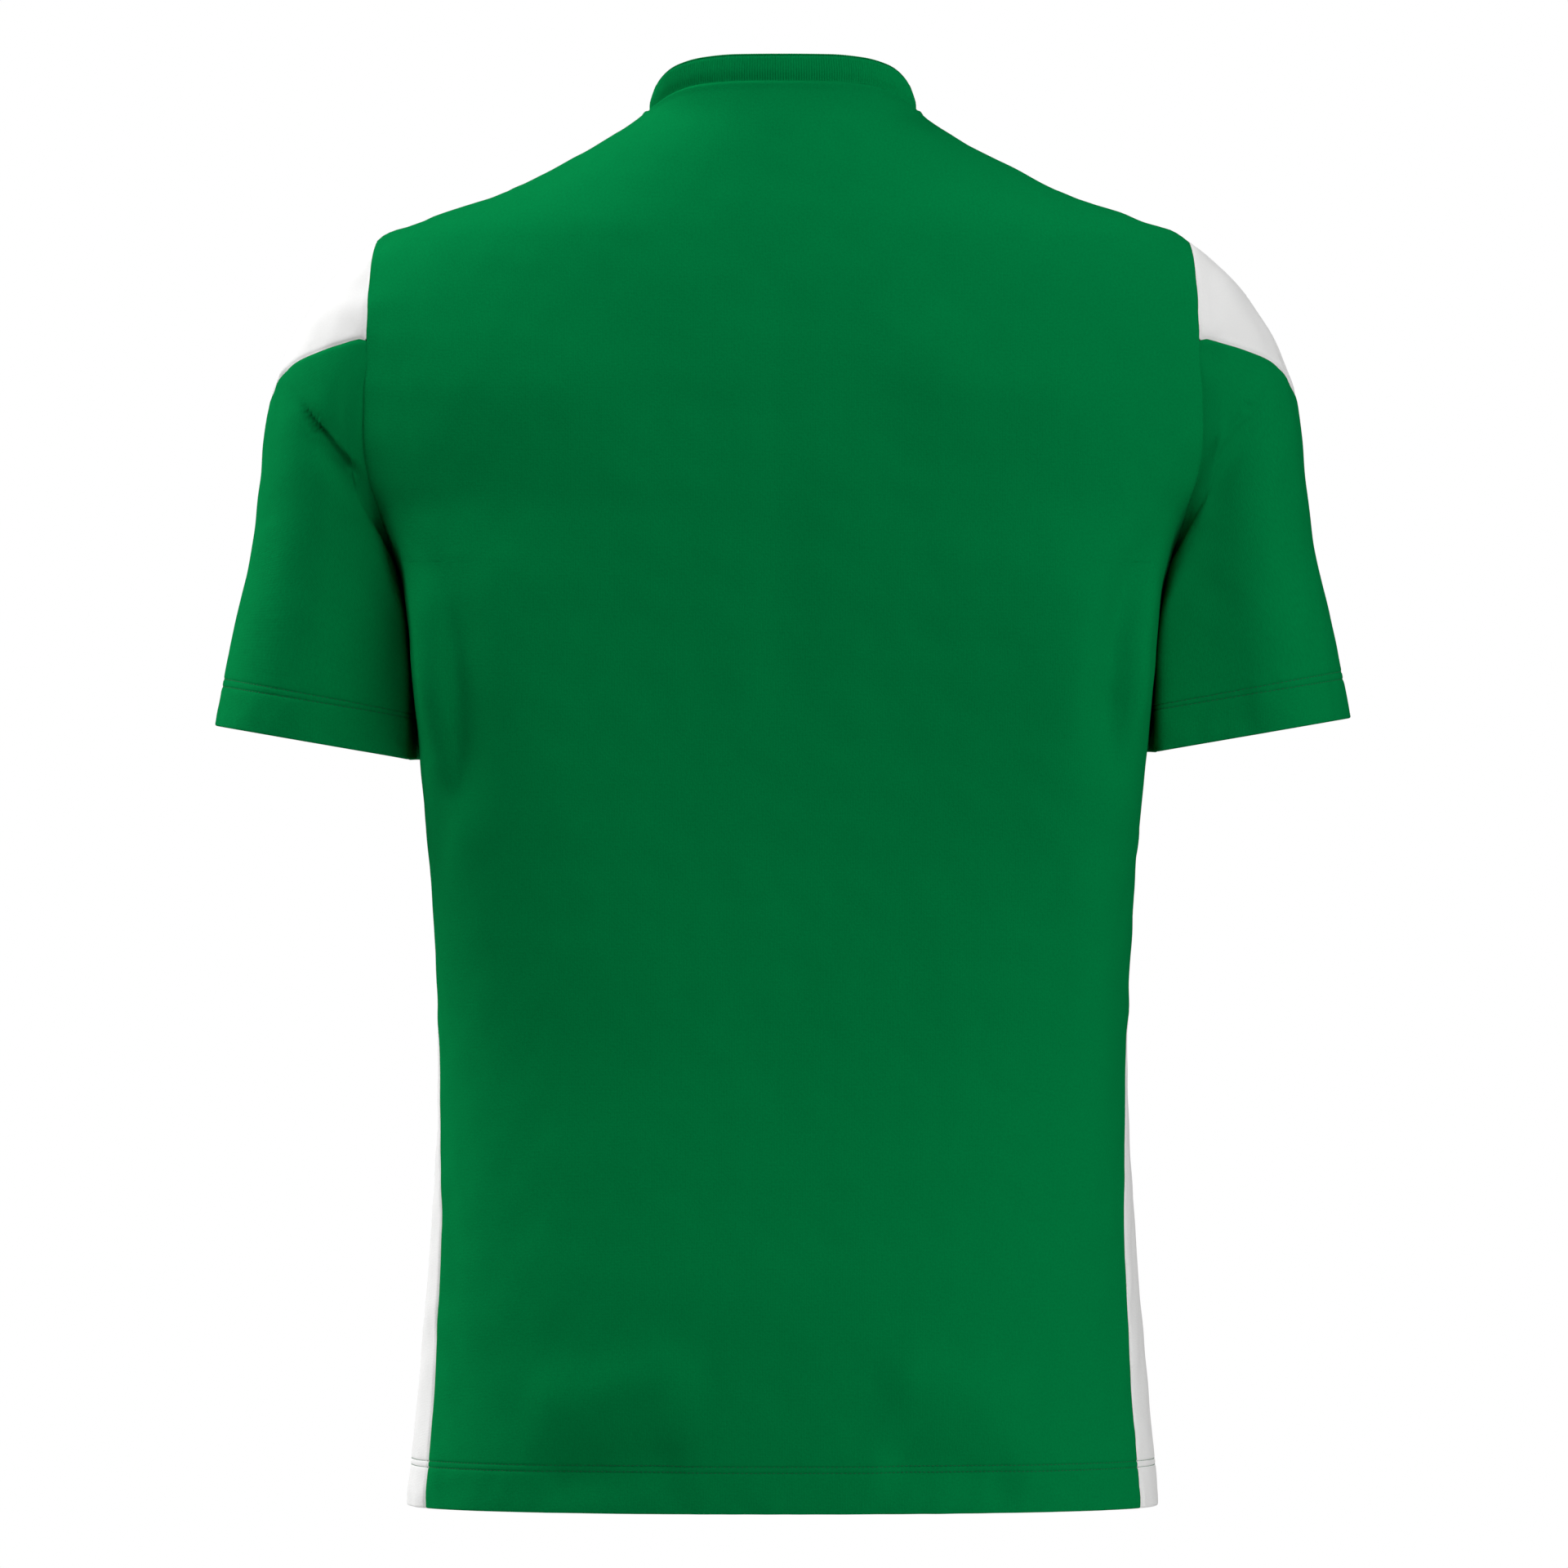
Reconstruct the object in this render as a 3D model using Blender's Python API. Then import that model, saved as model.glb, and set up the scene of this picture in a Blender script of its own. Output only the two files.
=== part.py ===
"""Short-sleeved football jersey, filled out as if worn and hollow inside.

Nine cloth pieces, each a closed solid: back, front, two side panels, two sleeves, two white inserts
at the sleeve heads and a rib neckband. Metres, +Z up, the front faces -Y, the wearer's left is +X.
Z = 0 is the height of the neck points, where shoulder seam and neckband meet.
"""
import math

import bpy
import numpy as np

# Driving dimensions
CLOTH = 0.0020            # wall of the knitted cloth
HEM_EXTRA = 0.0009        # what the turn-up of a hem or a cuff adds on the inside
HEM_DEPTH = 0.023
SEAM_GAP = 0.0003         # between two pieces, all along a seam
BAND_HEIGHT = 0.0145      # neckband, base to folded top
BAND_WALL = 0.0026

# Cells of the meshes
BODY_COLUMNS = 36
SIDE_COLUMNS = 4
ARM_CELLS = (5, 1, 8, 2, 7, 1, 5)   # round the armhole; both cloths of its seam share these points
SHOULDER_ROWS = 7
SLEEVE_ROWS = 11
INSERT_ROWS = 5

# The body in level sections: half width of body and sleeve head together down to the underarm, then of
# the body alone; how far the back and the front stand from the side line; squareness of the oval.
BODY_WIDTH = (
    # z,      half_width
    (0.0300, 0.0560),
    (0.0138, 0.0640),
    (0.0000, 0.0700),
    (-0.0127, 0.0891),
    (-0.0250, 0.1103),
    (-0.0361, 0.1316),
    (-0.0454, 0.1535),
    (-0.0530, 0.1757),
    (-0.0620, 0.2002),
    (-0.0671, 0.2108),
    (-0.0861, 0.2361),
    (-0.1031, 0.2497),
    (-0.1205, 0.2553),
    (-0.1413, 0.2544),
    (-0.1583, 0.2497),
    (-0.1753, 0.2418),
    (-0.1901, 0.2312),
    (-0.2135, 0.2115),
    (-0.2304, 0.2018),
    (-0.2474, 0.1968),
    (-0.2700, 0.1936),
    (-0.3000, 0.1910),
    (-0.3366, 0.1876),
    (-0.4130, 0.1817),
    (-0.4872, 0.1788),
    (-0.5106, 0.1790),
    (-0.5785, 0.1827),
    (-0.6549, 0.1886),
    (-0.7058, 0.1937),
    (-0.7236, 0.1952),
)
BODY_DEPTH = (
    # z,      back,   front,   squareness behind and in front
    (0.0300, 0.0500, -0.0420, 2.30, 2.30),
    (0.0138, 0.0600, -0.0500, 2.30, 2.30),
    (0.0000, 0.0665, -0.0600, 2.20, 2.20),
    (-0.0127, 0.0735, -0.0700, 2.10, 2.10),
    (-0.0361, 0.0850, -0.0835, 2.10, 2.10),
    (-0.0671, 0.0983, -0.0990, 2.20, 2.20),
    (-0.1000, 0.1090, -0.1125, 2.30, 2.30),
    (-0.1500, 0.1195, -0.1280, 2.50, 2.40),
    (-0.2000, 0.1240, -0.1360, 2.90, 2.40),
    (-0.2350, 0.1235, -0.1370, 3.60, 2.40),
    (-0.2600, 0.1220, -0.1365, 4.10, 2.40),
    (-0.3000, 0.1185, -0.1340, 4.40, 2.40),
    (-0.3500, 0.1140, -0.1305, 4.10, 2.38),
    (-0.4000, 0.1110, -0.1270, 3.50, 2.35),
    (-0.4800, 0.1110, -0.1240, 2.90, 2.30),
    (-0.5600, 0.1185, -0.1235, 2.50, 2.30),
    (-0.6200, 0.1250, -0.1250, 2.25, 2.35),
    (-0.6700, 0.1228, -0.1270, 2.12, 2.40),
    (-0.7236, 0.1150, -0.1290, 2.20, 2.40),
)
HEM_Z = -0.7236

# Neckline, laid on the body: half of it, back and front
NECK_BACK = ((0.0700, 0.0), (0.0658, 0.0031), (0.0552, 0.0092), (0.0424, 0.0124), (0.0255, 0.0137),
             (0.0, 0.0138))
NECK_FRONT = ((0.0700, 0.0), (0.0682, -0.010), (0.0655, -0.020), (0.0580, -0.038), (0.0450, -0.053),
              (0.0280, -0.064), (0.0140, -0.069), (0.0, -0.0705))

# Armhole, laid on the body: an oval in y and z
ARMHOLE_MID_Z = -0.1510
ARMHOLE_HALF_Z = 0.0840
ARMHOLE_HALF_Y = 0.0760
ARMHOLE_SQUARENESS = 2.2
CORNER_Z = -0.1195        # where the white insert's lower edge meets the armhole
CORNER_END = 0.0012       # height of the insert's blunt corner
SIDE_PANEL_TOP = 0.0330   # how far forward the side panel reaches along the armhole

# Side panel seams, each as a line of y over z
SIDE_SEAMS = (
    # z,      back_y,  front_y
    (-0.2350, -0.0005, -0.0330),
    (-0.2500, -0.0060, -0.0340),
    (-0.4000, -0.0070, -0.0370),
    (-0.4600, 0.0080, -0.0395), (-0.4850, 0.0230, -0.0410),
    (-0.5300, 0.0300, -0.0440),
    (-0.5800, 0.0420, -0.0520),
    (-0.6500, 0.0402, -0.0560),
    (-0.7236, 0.0413, -0.0600),
)

# Sleeve in rings fanned from the armhole to the cuff: outer and inner point, reach to back and front,
# how far the inner side lies forward, squareness of its corner behind, how far the inner side leans away
# from the body behind and in under it in front
SLEEVE_RINGS = (
    # t,   outer_x, outer_z, inner_x, inner_z, back,  front,   forward, corner, lean_back, lean_front
    (0.00, 0.2108, -0.0671, 0.2010, -0.2350, 0.0760, -0.0760, 0.0000, 2.2, 0.0000, 0.0000),
    (0.10, 0.2310, -0.0846, 0.2015, -0.2402, 0.0775, -0.0775, -0.0080, 2.8, -0.0008, 0.0035),
    (0.22, 0.2470, -0.1055, 0.1991, -0.2460, 0.0785, -0.0785, -0.0160, 4.2, -0.0018, 0.0070),
    (0.34, 0.2594, -0.1285, 0.1974, -0.2545, 0.0785, -0.0790, -0.0210, 6.5, -0.0018, 0.0095),
    (0.46, 0.2683, -0.1600, 0.1959, -0.2650, 0.0780, -0.0790, -0.0240, 9.0, -0.0016, 0.0100),
    (0.58, 0.2716, -0.1930, 0.1946, -0.2770, 0.0770, -0.0790, -0.0250, 11.0, -0.0014, 0.0100),
    (0.70, 0.2757, -0.2260, 0.1935, -0.2900, 0.0760, -0.0790, -0.0250, 12.0, -0.0012, 0.0100),
    (0.80, 0.2829, -0.2590, 0.1928, -0.3010, 0.0750, -0.0785, -0.0240, 13.0, -0.0006, 0.0100),
    (0.90, 0.2904, -0.2966, 0.1918, -0.3137, 0.0735, -0.0780, -0.0220, 14.0, 0.0004, 0.0100),
    (1.00, 0.2945, -0.3191, 0.1903, -0.3366, 0.0720, -0.0780, -0.0200, 14.0, 0.0024, 0.0100),
)
SLEEVE_SQUARENESS = 2.2   # of its outer half
HEM_T = 0.90              # where the cuff's turn-up starts
SLEEVES = (
    # name,   side, cuff_lift
    ("left", 1, 0.0),
    ("right", -1, 0.004),
)

# Lower edge of the white insert, laid on the sleeve
INSERT_EDGE = ((0.2105, -0.1195), (0.2144, -0.1195), (0.2305, -0.1231), (0.2411, -0.1265),
               (0.2530, -0.1316), (0.2597, -0.1380), (0.2649, -0.1473), (0.2700, -0.1600))

# Large folds: a soft ridge (height above 0) or trough (below 0) along a line from one point to the other
BODY_FOLDS = (
    # face,   x0,     z0,      x1,     z1,     half_width, height
    ("back", 0.160, -0.132, 0.078, -0.146, 0.055, 0.0085),
    ("back", -0.156, -0.138, -0.076, -0.114, 0.055, 0.0065),
    ("back", 0.169, -0.240, 0.167, -0.350, 0.013, -0.0090),
    ("back", 0.186, -0.240, 0.183, -0.335, 0.012, 0.0045),
    ("back", -0.188, -0.215, -0.170, -0.330, 0.013, -0.0075),
    ("back", -0.192, -0.250, -0.184, -0.340, 0.012, 0.0030),
    ("back", -0.157, -0.400, -0.160, -0.580, 0.022, 0.0025),
    ("back", 0.112, -0.638, 0.074, -0.640, 0.045, 0.0085),
    ("back", -0.074, -0.640, -0.106, -0.638, 0.045, 0.0055),
    ("back", 0.106, -0.696, 0.072, -0.698, 0.024, -0.0050),
    ("back", -0.074, -0.696, -0.100, -0.694, 0.024, -0.0035),
    ("back", 0.000, -0.020, 0.000, -0.300, 0.020, -0.0012),
    ("front", 0.000, -0.120, 0.000, -0.300, 0.030, -0.0020),
    ("front", 0.150, -0.230, 0.120, -0.420, 0.024, -0.0035),
    ("front", -0.150, -0.230, -0.125, -0.400, 0.024, -0.0035),
    ("front", 0.085, -0.560, 0.078, -0.700, 0.026, -0.0040),
    ("front", -0.070, -0.580, -0.082, -0.700, 0.026, -0.0040),
)
SLEEVE_FOLDS = (
    # face,   x0,     z0,      x1,     z1,     half_width, height
    ("back", 0.251, -0.149, 0.232, -0.174, 0.009, -0.0022),
    ("back", 0.232, -0.174, 0.213, -0.197, 0.011, -0.0045),
    ("front", 0.252, -0.150, 0.226, -0.200, 0.014, 0.0025),
    ("front", 0.258, -0.180, 0.232, -0.235, 0.014, -0.0030),
)

COLOURS = {
    "green_knit": (0.0030, 0.1590, 0.0410, 1.0),
    "white_knit": (0.8600, 0.8600, 0.8500, 1.0),
    "green_rib": (0.0030, 0.1500, 0.0400, 1.0),
}


def column(table, key, value):
    """Two columns of a table as arrays, in rising order of the first."""
    pairs = sorted((row[key], row[value]) for row in table)
    return np.array([p[0] for p in pairs]), np.array([p[1] for p in pairs])


def slopes(xs, ys):
    """Slopes of a smooth curve through the points that never overshoots them."""
    step = np.diff(xs)
    rise = np.diff(ys) / step
    out = np.empty_like(ys)
    out[0], out[-1] = rise[0], rise[-1]
    for i in range(1, len(ys) - 1):
        if rise[i - 1] * rise[i] <= 0.0:
            out[i] = 0.0
        else:
            a, b = 2.0 * step[i] + step[i - 1], step[i] + 2.0 * step[i - 1]
            out[i] = (a + b) / (a / rise[i - 1] + b / rise[i])
    return out


class Line:
    """A smooth line through one column of a table, over another column."""

    def __init__(self, table, key=0, value=1):
        self.xs, self.ys = column(table, key, value)
        self.ms = slopes(self.xs, self.ys)

    def __call__(self, at):
        at = np.clip(np.asarray(at, dtype=float), self.xs[0], self.xs[-1])
        i = np.clip(np.searchsorted(self.xs, at, side="right") - 1, 0, len(self.xs) - 2)
        h = self.xs[i + 1] - self.xs[i]
        t = (at - self.xs[i]) / h
        return ((2 * t**3 - 3 * t**2 + 1) * self.ys[i] + (t**3 - 2 * t**2 + t) * h * self.ms[i]
                + (3 * t**2 - 2 * t**3) * self.ys[i + 1] + (t**3 - t**2) * h * self.ms[i + 1])


WIDTH = Line(BODY_WIDTH)
BACK = Line(BODY_DEPTH, 0, 1)
FRONT = Line(BODY_DEPTH, 0, 2)
SQUARE_BACK = Line(BODY_DEPTH, 0, 3)
SQUARE_FRONT = Line(BODY_DEPTH, 0, 4)
SEAM_BACK = Line(SIDE_SEAMS, 0, 1)
SEAM_FRONT = Line(SIDE_SEAMS, 0, 2)
RING = [Line(SLEEVE_RINGS, 0, k) for k in range(1, 11)]
EDGE = Line(INSERT_EDGE)


def smooth(t):
    """Ease from 0 to 1."""
    t = np.clip(t, 0.0, 1.0)
    return t * t * (3.0 - 2.0 * t)


def fold_height(folds, face, x, z):
    """Height of all folds of one face at the points."""
    total = np.zeros(np.shape(x))
    for name, x0, z0, x1, z1, half, height in folds:
        if name != face:
            continue
        dx, dz = x1 - x0, z1 - z0
        t = np.clip(((x - x0) * dx + (z - z0) * dz) / (dx * dx + dz * dz), 0.0, 1.0)
        away = np.hypot(x - x0 - t * dx, z - z0 - t * dz) / half
        total += height * np.exp(-2.0 * away**2)
    return total


def half_oval(behind, z):
    """Depth and squareness of the half oval behind the side line or in front of it."""
    return np.where(behind, BACK(z), -FRONT(z)), np.where(behind, SQUARE_BACK(z), SQUARE_FRONT(z))


def body_normal(p):
    """Outward unit normals of the plain body at points on it."""
    def level(q):
        x, y, z = q[..., 0], q[..., 1], q[..., 2]
        deep, n = half_oval(y >= 0.0, z)
        return (np.abs(x) / WIDTH(z))**n + (np.abs(y) / deep)**n

    h = 2e-5
    out = np.empty_like(p)
    for k in range(3):
        d = np.zeros(3)
        d[k] = h
        out[..., k] = level(p + d) - level(p - d)
    return out / np.linalg.norm(out, axis=-1, keepdims=True)


def body_polar(angle, z):
    """Points of the plain body at a compass angle (0 is the wearer's left, 90 degrees the back)."""
    angle, z = np.broadcast_arrays(np.asarray(angle, dtype=float), np.asarray(z, dtype=float))
    c, s = np.cos(angle), np.sin(angle)
    deep, n = half_oval(s >= 0.0, z)
    reach = ((np.abs(c) / WIDTH(z))**n + (np.abs(s) / deep)**n)**(-1.0 / n)
    return np.stack([reach * c, reach * s, z], axis=-1)


def body_angle_at_y(y, z):
    """Compass angle of the left side point that stands at y."""
    deep, n = half_oval(np.asarray(y) >= 0.0, z)
    x = WIDTH(z) * (1.0 - (np.abs(y) / deep)**n)**(1.0 / n)
    return np.arctan2(y, x)


def body_angle_at_x(x, z, face):
    """Compass angle of the point of one face that stands at x >= 0."""
    deep, n = half_oval(face == "back", z)
    y = deep * (1.0 - np.clip(np.abs(x) / WIDTH(z), 0.0, 1.0)**n)**(1.0 / n)
    return np.arctan2(y if face == "back" else -y, x)


def draped(p):
    """The body with its folds, and the normals its wall is measured along."""
    normal = body_normal(p)
    face_on = smooth((np.abs(normal[..., 1]) - 0.10) / 0.45)
    back = fold_height(BODY_FOLDS, "back", p[..., 0], p[..., 2])
    front = fold_height(BODY_FOLDS, "front", p[..., 0], p[..., 2])
    lift = np.where(p[..., 1] >= 0.0, back, front) * face_on
    return p + normal * lift[..., None], normal


def arm_angles():
    """Angles round the armhole from the top over the back, in even steps between its corners."""
    a = np.linspace(0.0, 2.0 * math.pi, 2881)
    p = armhole(a)
    run = np.concatenate([[0.0], np.cumsum(np.linalg.norm(np.diff(p, axis=0), axis=1))])
    back = float(np.interp(-CORNER_Z, -p[:1440, 2], run[:1440]))
    front = float(np.interp(CORNER_Z, p[1440:, 2], run[1440:]))
    under = run[1440]
    panel = float(np.interp(SIDE_PANEL_TOP, -p[1440:2000, 1], run[1440:2000]))
    step = 1.5 * CORNER_END
    stops = [0.0, back, back + step, under, panel, front - step, front, run[-1]]
    at = np.concatenate([np.linspace(stops[k], stops[k + 1], cells, endpoint=False)
                         for k, cells in enumerate(ARM_CELLS)])
    return np.interp(at, run, a)


def armhole_yz(a, grow=0.0):
    """The armhole's oval in y and z."""
    c, s = np.cos(a), np.sin(a)
    k = 2.0 / ARMHOLE_SQUARENESS
    y = (ARMHOLE_HALF_Y + grow) * np.sign(s) * np.abs(s)**k
    z = ARMHOLE_MID_Z + (ARMHOLE_HALF_Z + grow) * np.sign(c) * np.abs(c)**k
    return y, z


def armhole(a, grow=0.0):
    """The left armhole on the plain body."""
    y, z = armhole_yz(a, grow)
    return body_polar(body_angle_at_y(y, z), z)


def even(points, count):
    """Points at even steps along a line of points."""
    run = np.concatenate([[0.0], np.cumsum(np.linalg.norm(np.diff(points, axis=0), axis=1))])
    at = np.linspace(0.0, run[-1], count + 1)
    return np.stack([np.interp(at, run, points[:, k]) for k in range(3)], axis=1)


def body_row(start_angle, start_z, middle_z, face, columns=BODY_COLUMNS):
    """A row of one face from the left edge to the right, level but for its ends."""
    sign = 1.0 if face == "back" else -1.0
    u = np.linspace(0.0, 1.0, 241)
    end = sign * math.pi - start_angle
    angle = start_angle + (end - start_angle) * u
    rise = smooth(np.minimum(u, 1.0 - u) / 0.30)
    return even(body_polar(angle, start_z + (middle_z - start_z) * rise), columns)


def neck_row(face, start_angle):
    """The top row of one face: the neckline, with a seam gap below the neckband."""
    table = NECK_BACK if face == "back" else NECK_FRONT
    line = Line([(-x, z) for x, z in table] + [(x, z) for x, z in table[:-1]])
    xs = np.linspace(0.0700, 0.0, 121)
    zs = line(xs) - 0.5 * SEAM_GAP
    half = body_angle_at_x(xs, zs, face)
    half[0] = start_angle
    sign = 1.0 if face == "back" else -1.0
    keep = np.concatenate([[True], sign * half[1:] > max(sign * start_angle + 0.01, 0.05)])
    angle, zs = half[keep], zs[keep]
    angle = np.concatenate([angle, (sign * math.pi - angle[:-1])[::-1]])
    zs = np.concatenate([zs, zs[:-1][::-1]])
    return angle, zs


def blend_rows(low, high, share, columns=BODY_COLUMNS):
    """A row between two rows given as angles and heights."""
    u = np.linspace(0.0, 1.0, 241)

    def at(row):
        run = np.linspace(0.0, 1.0, len(row[0]))
        return np.interp(u, run, row[0]), np.interp(u, run, row[1])

    (a0, z0), (a1, z1) = at(low), at(high)
    return even(body_polar(a0 + (a1 - a0) * share, z0 + (z1 - z0) * share), columns)


def low_heights():
    """Heights of the rows below the underarm, hem first."""
    top = armhole_yz(np.array([math.pi]))[1][0]
    first = HEM_Z + HEM_DEPTH
    return [HEM_Z, HEM_Z + 0.5 * HEM_DEPTH, first, first + 0.0015, -0.684, -0.668, -0.648] + \
        list(np.linspace(-0.622, -0.290, 9)) + [-0.2665, -0.2515, -0.2425, top - 0.5 * SEAM_GAP]


def face_panel(face):
    """Rows of the back or the front, hem first, and the wall at each row."""
    sign = 1.0 if face == "back" else -1.0
    seam = SEAM_BACK if face == "back" else SEAM_FRONT
    half_gap = sign * 0.5 * SEAM_GAP
    rows, walls = [], []
    heights = low_heights()
    for z in heights[:-1]:
        start = body_angle_at_y(seam(z) + half_gap, z)
        rows.append(body_row(start, z, z, face))
        walls.append(CLOTH + (HEM_EXTRA if z < HEM_Z + HEM_DEPTH + 1e-6 else 0.0))

    angles = arm_angles()
    last = sum(ARM_CELLS[:3])
    if face == "back":
        steps = list(angles[last::-1])
    else:
        steps = list(angles[last + ARM_CELLS[3]:]) + [2.0 * math.pi]
    y, z = armhole_yz(np.array(steps), 0.5 * SEAM_GAP)
    y[0] += half_gap
    y[-1] += half_gap
    deep_z = heights[-1]
    top_z = z[-1] if face == "back" else -0.112
    middles = deep_z + (z - deep_z) * (top_z - deep_z) / (z[-1] - deep_z)
    for k in range(len(steps)):
        rows.append(body_row(float(body_angle_at_y(y[k], z[k])), z[k], middles[k], face))
        walls.append(CLOTH)
    tip_angle, tip_z, tip_mid = float(body_angle_at_y(y[-1], z[-1])), z[-1], middles[-1]

    u = np.linspace(0.0, 1.0, 241)
    rise = smooth(np.minimum(u, 1.0 - u) / 0.30)
    low = (tip_angle + (sign * math.pi - 2.0 * tip_angle) * u, tip_z + (tip_mid - tip_z) * rise)
    high = neck_row(face, float(body_angle_at_y(half_gap, -0.5 * SEAM_GAP)))
    xs = np.linspace(WIDTH(tip_z), WIDTH(0.0), SHOULDER_ROWS + 1)[1:]
    zs = np.interp(xs, WIDTH(np.linspace(0.0, tip_z, 200)), np.linspace(0.0, tip_z, 200))
    for z_here in zs:
        share = float((z_here - tip_z) / (0.0 - tip_z))
        rows.append(blend_rows(low, high, min(share, 1.0)))
        walls.append(CLOTH)
    return np.array(rows), np.array(walls)


def side_panel(side):
    """Rows of a side panel, hem first, from its back seam to its front seam."""
    angles = arm_angles()
    last = sum(ARM_CELLS[:3])
    rows, walls = [], []
    u = np.linspace(0.0, 1.0, 61)
    heights = low_heights()
    for z in heights[:-1]:
        a0 = body_angle_at_y(SEAM_BACK(z) - 0.5 * SEAM_GAP, z)
        a1 = body_angle_at_y(SEAM_FRONT(z) + 0.5 * SEAM_GAP, z)
        rows.append(even(body_polar(a0 + (a1 - a0) * u, z), SIDE_COLUMNS))
        walls.append(CLOTH + (HEM_EXTRA if z < HEM_Z + HEM_DEPTH + 1e-6 else 0.0))
    y, z = armhole_yz(np.interp(np.linspace(0.0, 2.0, SIDE_COLUMNS + 1), [0.0, 1.0, 2.0],
                                angles[last:last + 3]), 0.5 * SEAM_GAP)
    y[0] -= 0.5 * SEAM_GAP
    y[-1] += 0.5 * SEAM_GAP
    rows.append(body_polar(body_angle_at_y(y, z), z))
    walls.append(CLOTH)
    rows = np.array(rows)
    rows[..., 0] *= side
    return rows, np.array(walls)


def sleeve_point(a, t, side, lift):
    """Points of a sleeve at an angle round it and a share of its length."""
    a, t = np.broadcast_arrays(np.asarray(a, dtype=float), np.asarray(t, dtype=float))
    ox, oz, ix, iz, back, front, forward, corner, lean_back, lean_front = (line(t) for line in RING)
    c, s = np.cos(a), np.sin(a)
    inner = np.where(s >= 0.0, corner, SLEEVE_SQUARENESS + 0.4 * (corner - SLEEVE_SQUARENESS))
    n = np.where(c >= 0.0, SLEEVE_SQUARENESS, inner)
    reach = (np.abs(c)**n + np.abs(s)**n)**(-1.0 / n)
    c, s = c * reach, s * reach
    lean = np.where(s >= 0.0, lean_back, lean_front) * s
    x = 0.5 * (ox + ix) + 0.5 * (ox - ix) * c + lean * 0.5 * (1.0 - c)
    z = 0.5 * (oz + iz) + 0.5 * (oz - iz) * c
    y = np.where(s >= 0.0, back, -front) * s + forward * 0.5 * (1.0 - c) * (0.75 + 0.25 * s)
    p = np.stack([x, y, z], axis=-1)
    mirror = np.array([side, 1.0, 1.0])
    start = draped(armhole(a) * mirror)[0] * mirror
    ring0 = np.stack([0.5 * (RING[0](0.0) + RING[2](0.0)) + 0.5 * (RING[0](0.0) - RING[2](0.0)) * c,
                      ARMHOLE_HALF_Y * s, ARMHOLE_MID_Z + ARMHOLE_HALF_Z * c], axis=-1)
    p = p + (start - ring0) * (1.0 - smooth(t / 0.45))[..., None]
    p[..., 2] += lift * smooth(t)
    p[..., 0] *= side
    return p


def sleeve_normal(a, t, side, lift):
    """Outward unit normals of a plain sleeve."""
    h = 1e-3
    da = sleeve_point(a + h, t, side, lift) - sleeve_point(a - h, t, side, lift)
    t0, t1 = np.clip(t - h, 0.0, 1.0), np.clip(t + h, 0.0, 1.0)
    dt = sleeve_point(a, t1, side, lift) - sleeve_point(a, t0, side, lift)
    n = np.cross(dt, da) * side
    return n / np.linalg.norm(n, axis=-1, keepdims=True)


def sleeve_draped(a, t, side, lift):
    """A sleeve with its folds, and its normals."""
    p = sleeve_point(a, t, side, lift)
    normal = sleeve_normal(a, t, side, lift)
    x, z = p[..., 0] * side, p[..., 2]
    face_on = smooth((np.abs(normal[..., 1]) - 0.10) / 0.45) * smooth(t / 0.15)
    back = fold_height(SLEEVE_FOLDS, "back", x, z)
    front = fold_height(SLEEVE_FOLDS, "front", x, z)
    lift_by = np.where(normal[..., 1] >= 0.0, back, front) * face_on
    return p + normal * lift_by[..., None], normal


def insert_share(a, side, lift):
    """How far down each line of the sleeve the white insert reaches, as a share of the length."""
    t = np.linspace(0.0, 0.9, 361)
    out = np.zeros(len(a))
    for k, angle in enumerate(a):
        p = sleeve_point(np.full(t.shape, angle), t, side, 0.0) * np.array([side, 1.0, 1.0])
        below = p[:, 2] < EDGE(p[:, 0])
        first = int(np.argmax(below))
        if math.cos(angle) > 0.0 and first > 0:
            f0 = p[first - 1, 2] - EDGE(p[first - 1, 0])
            f1 = p[first, 2] - EDGE(p[first, 0])
            out[k] = t[first - 1] + (t[first] - t[first - 1]) * f0 / (f0 - f1)
    corners = [ARM_CELLS[0], len(a) - ARM_CELLS[-1]]
    out[corners] = gap_share(a[corners], np.zeros(2), side, lift, CORNER_END)
    out[corners[0] + 1:corners[1]] = 0.0
    return out


def gap_share(a, t, side, lift, gap):
    """The share of the length that leaves a gap square to the line of points on the sleeve."""
    h = 0.01
    here = sleeve_point(a, t, side, lift)
    down = (sleeve_point(a, t + h, side, lift) - here) / h
    length = np.linalg.norm(down, axis=-1)
    slant = np.ones(len(here))
    if len(here) > 4:
        along = np.gradient(here, axis=0)
        along /= np.linalg.norm(along, axis=-1, keepdims=True)
        slant = np.linalg.norm(np.cross(along, down), axis=-1) / length
    return gap / (length * np.clip(slant, 0.4, 1.0))


def seam_normal(a, own, side):
    """Wall direction along the armhole seam: shared by both cloths where they nearly run on."""
    other = draped(armhole(a))[1]
    other = other * np.array([side, 1.0, 1.0])
    share = smooth((np.sum(own * other, axis=-1) - 0.1) / 0.6)[..., None]
    mixed = own + other * share
    return mixed / np.linalg.norm(mixed, axis=-1, keepdims=True)


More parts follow.
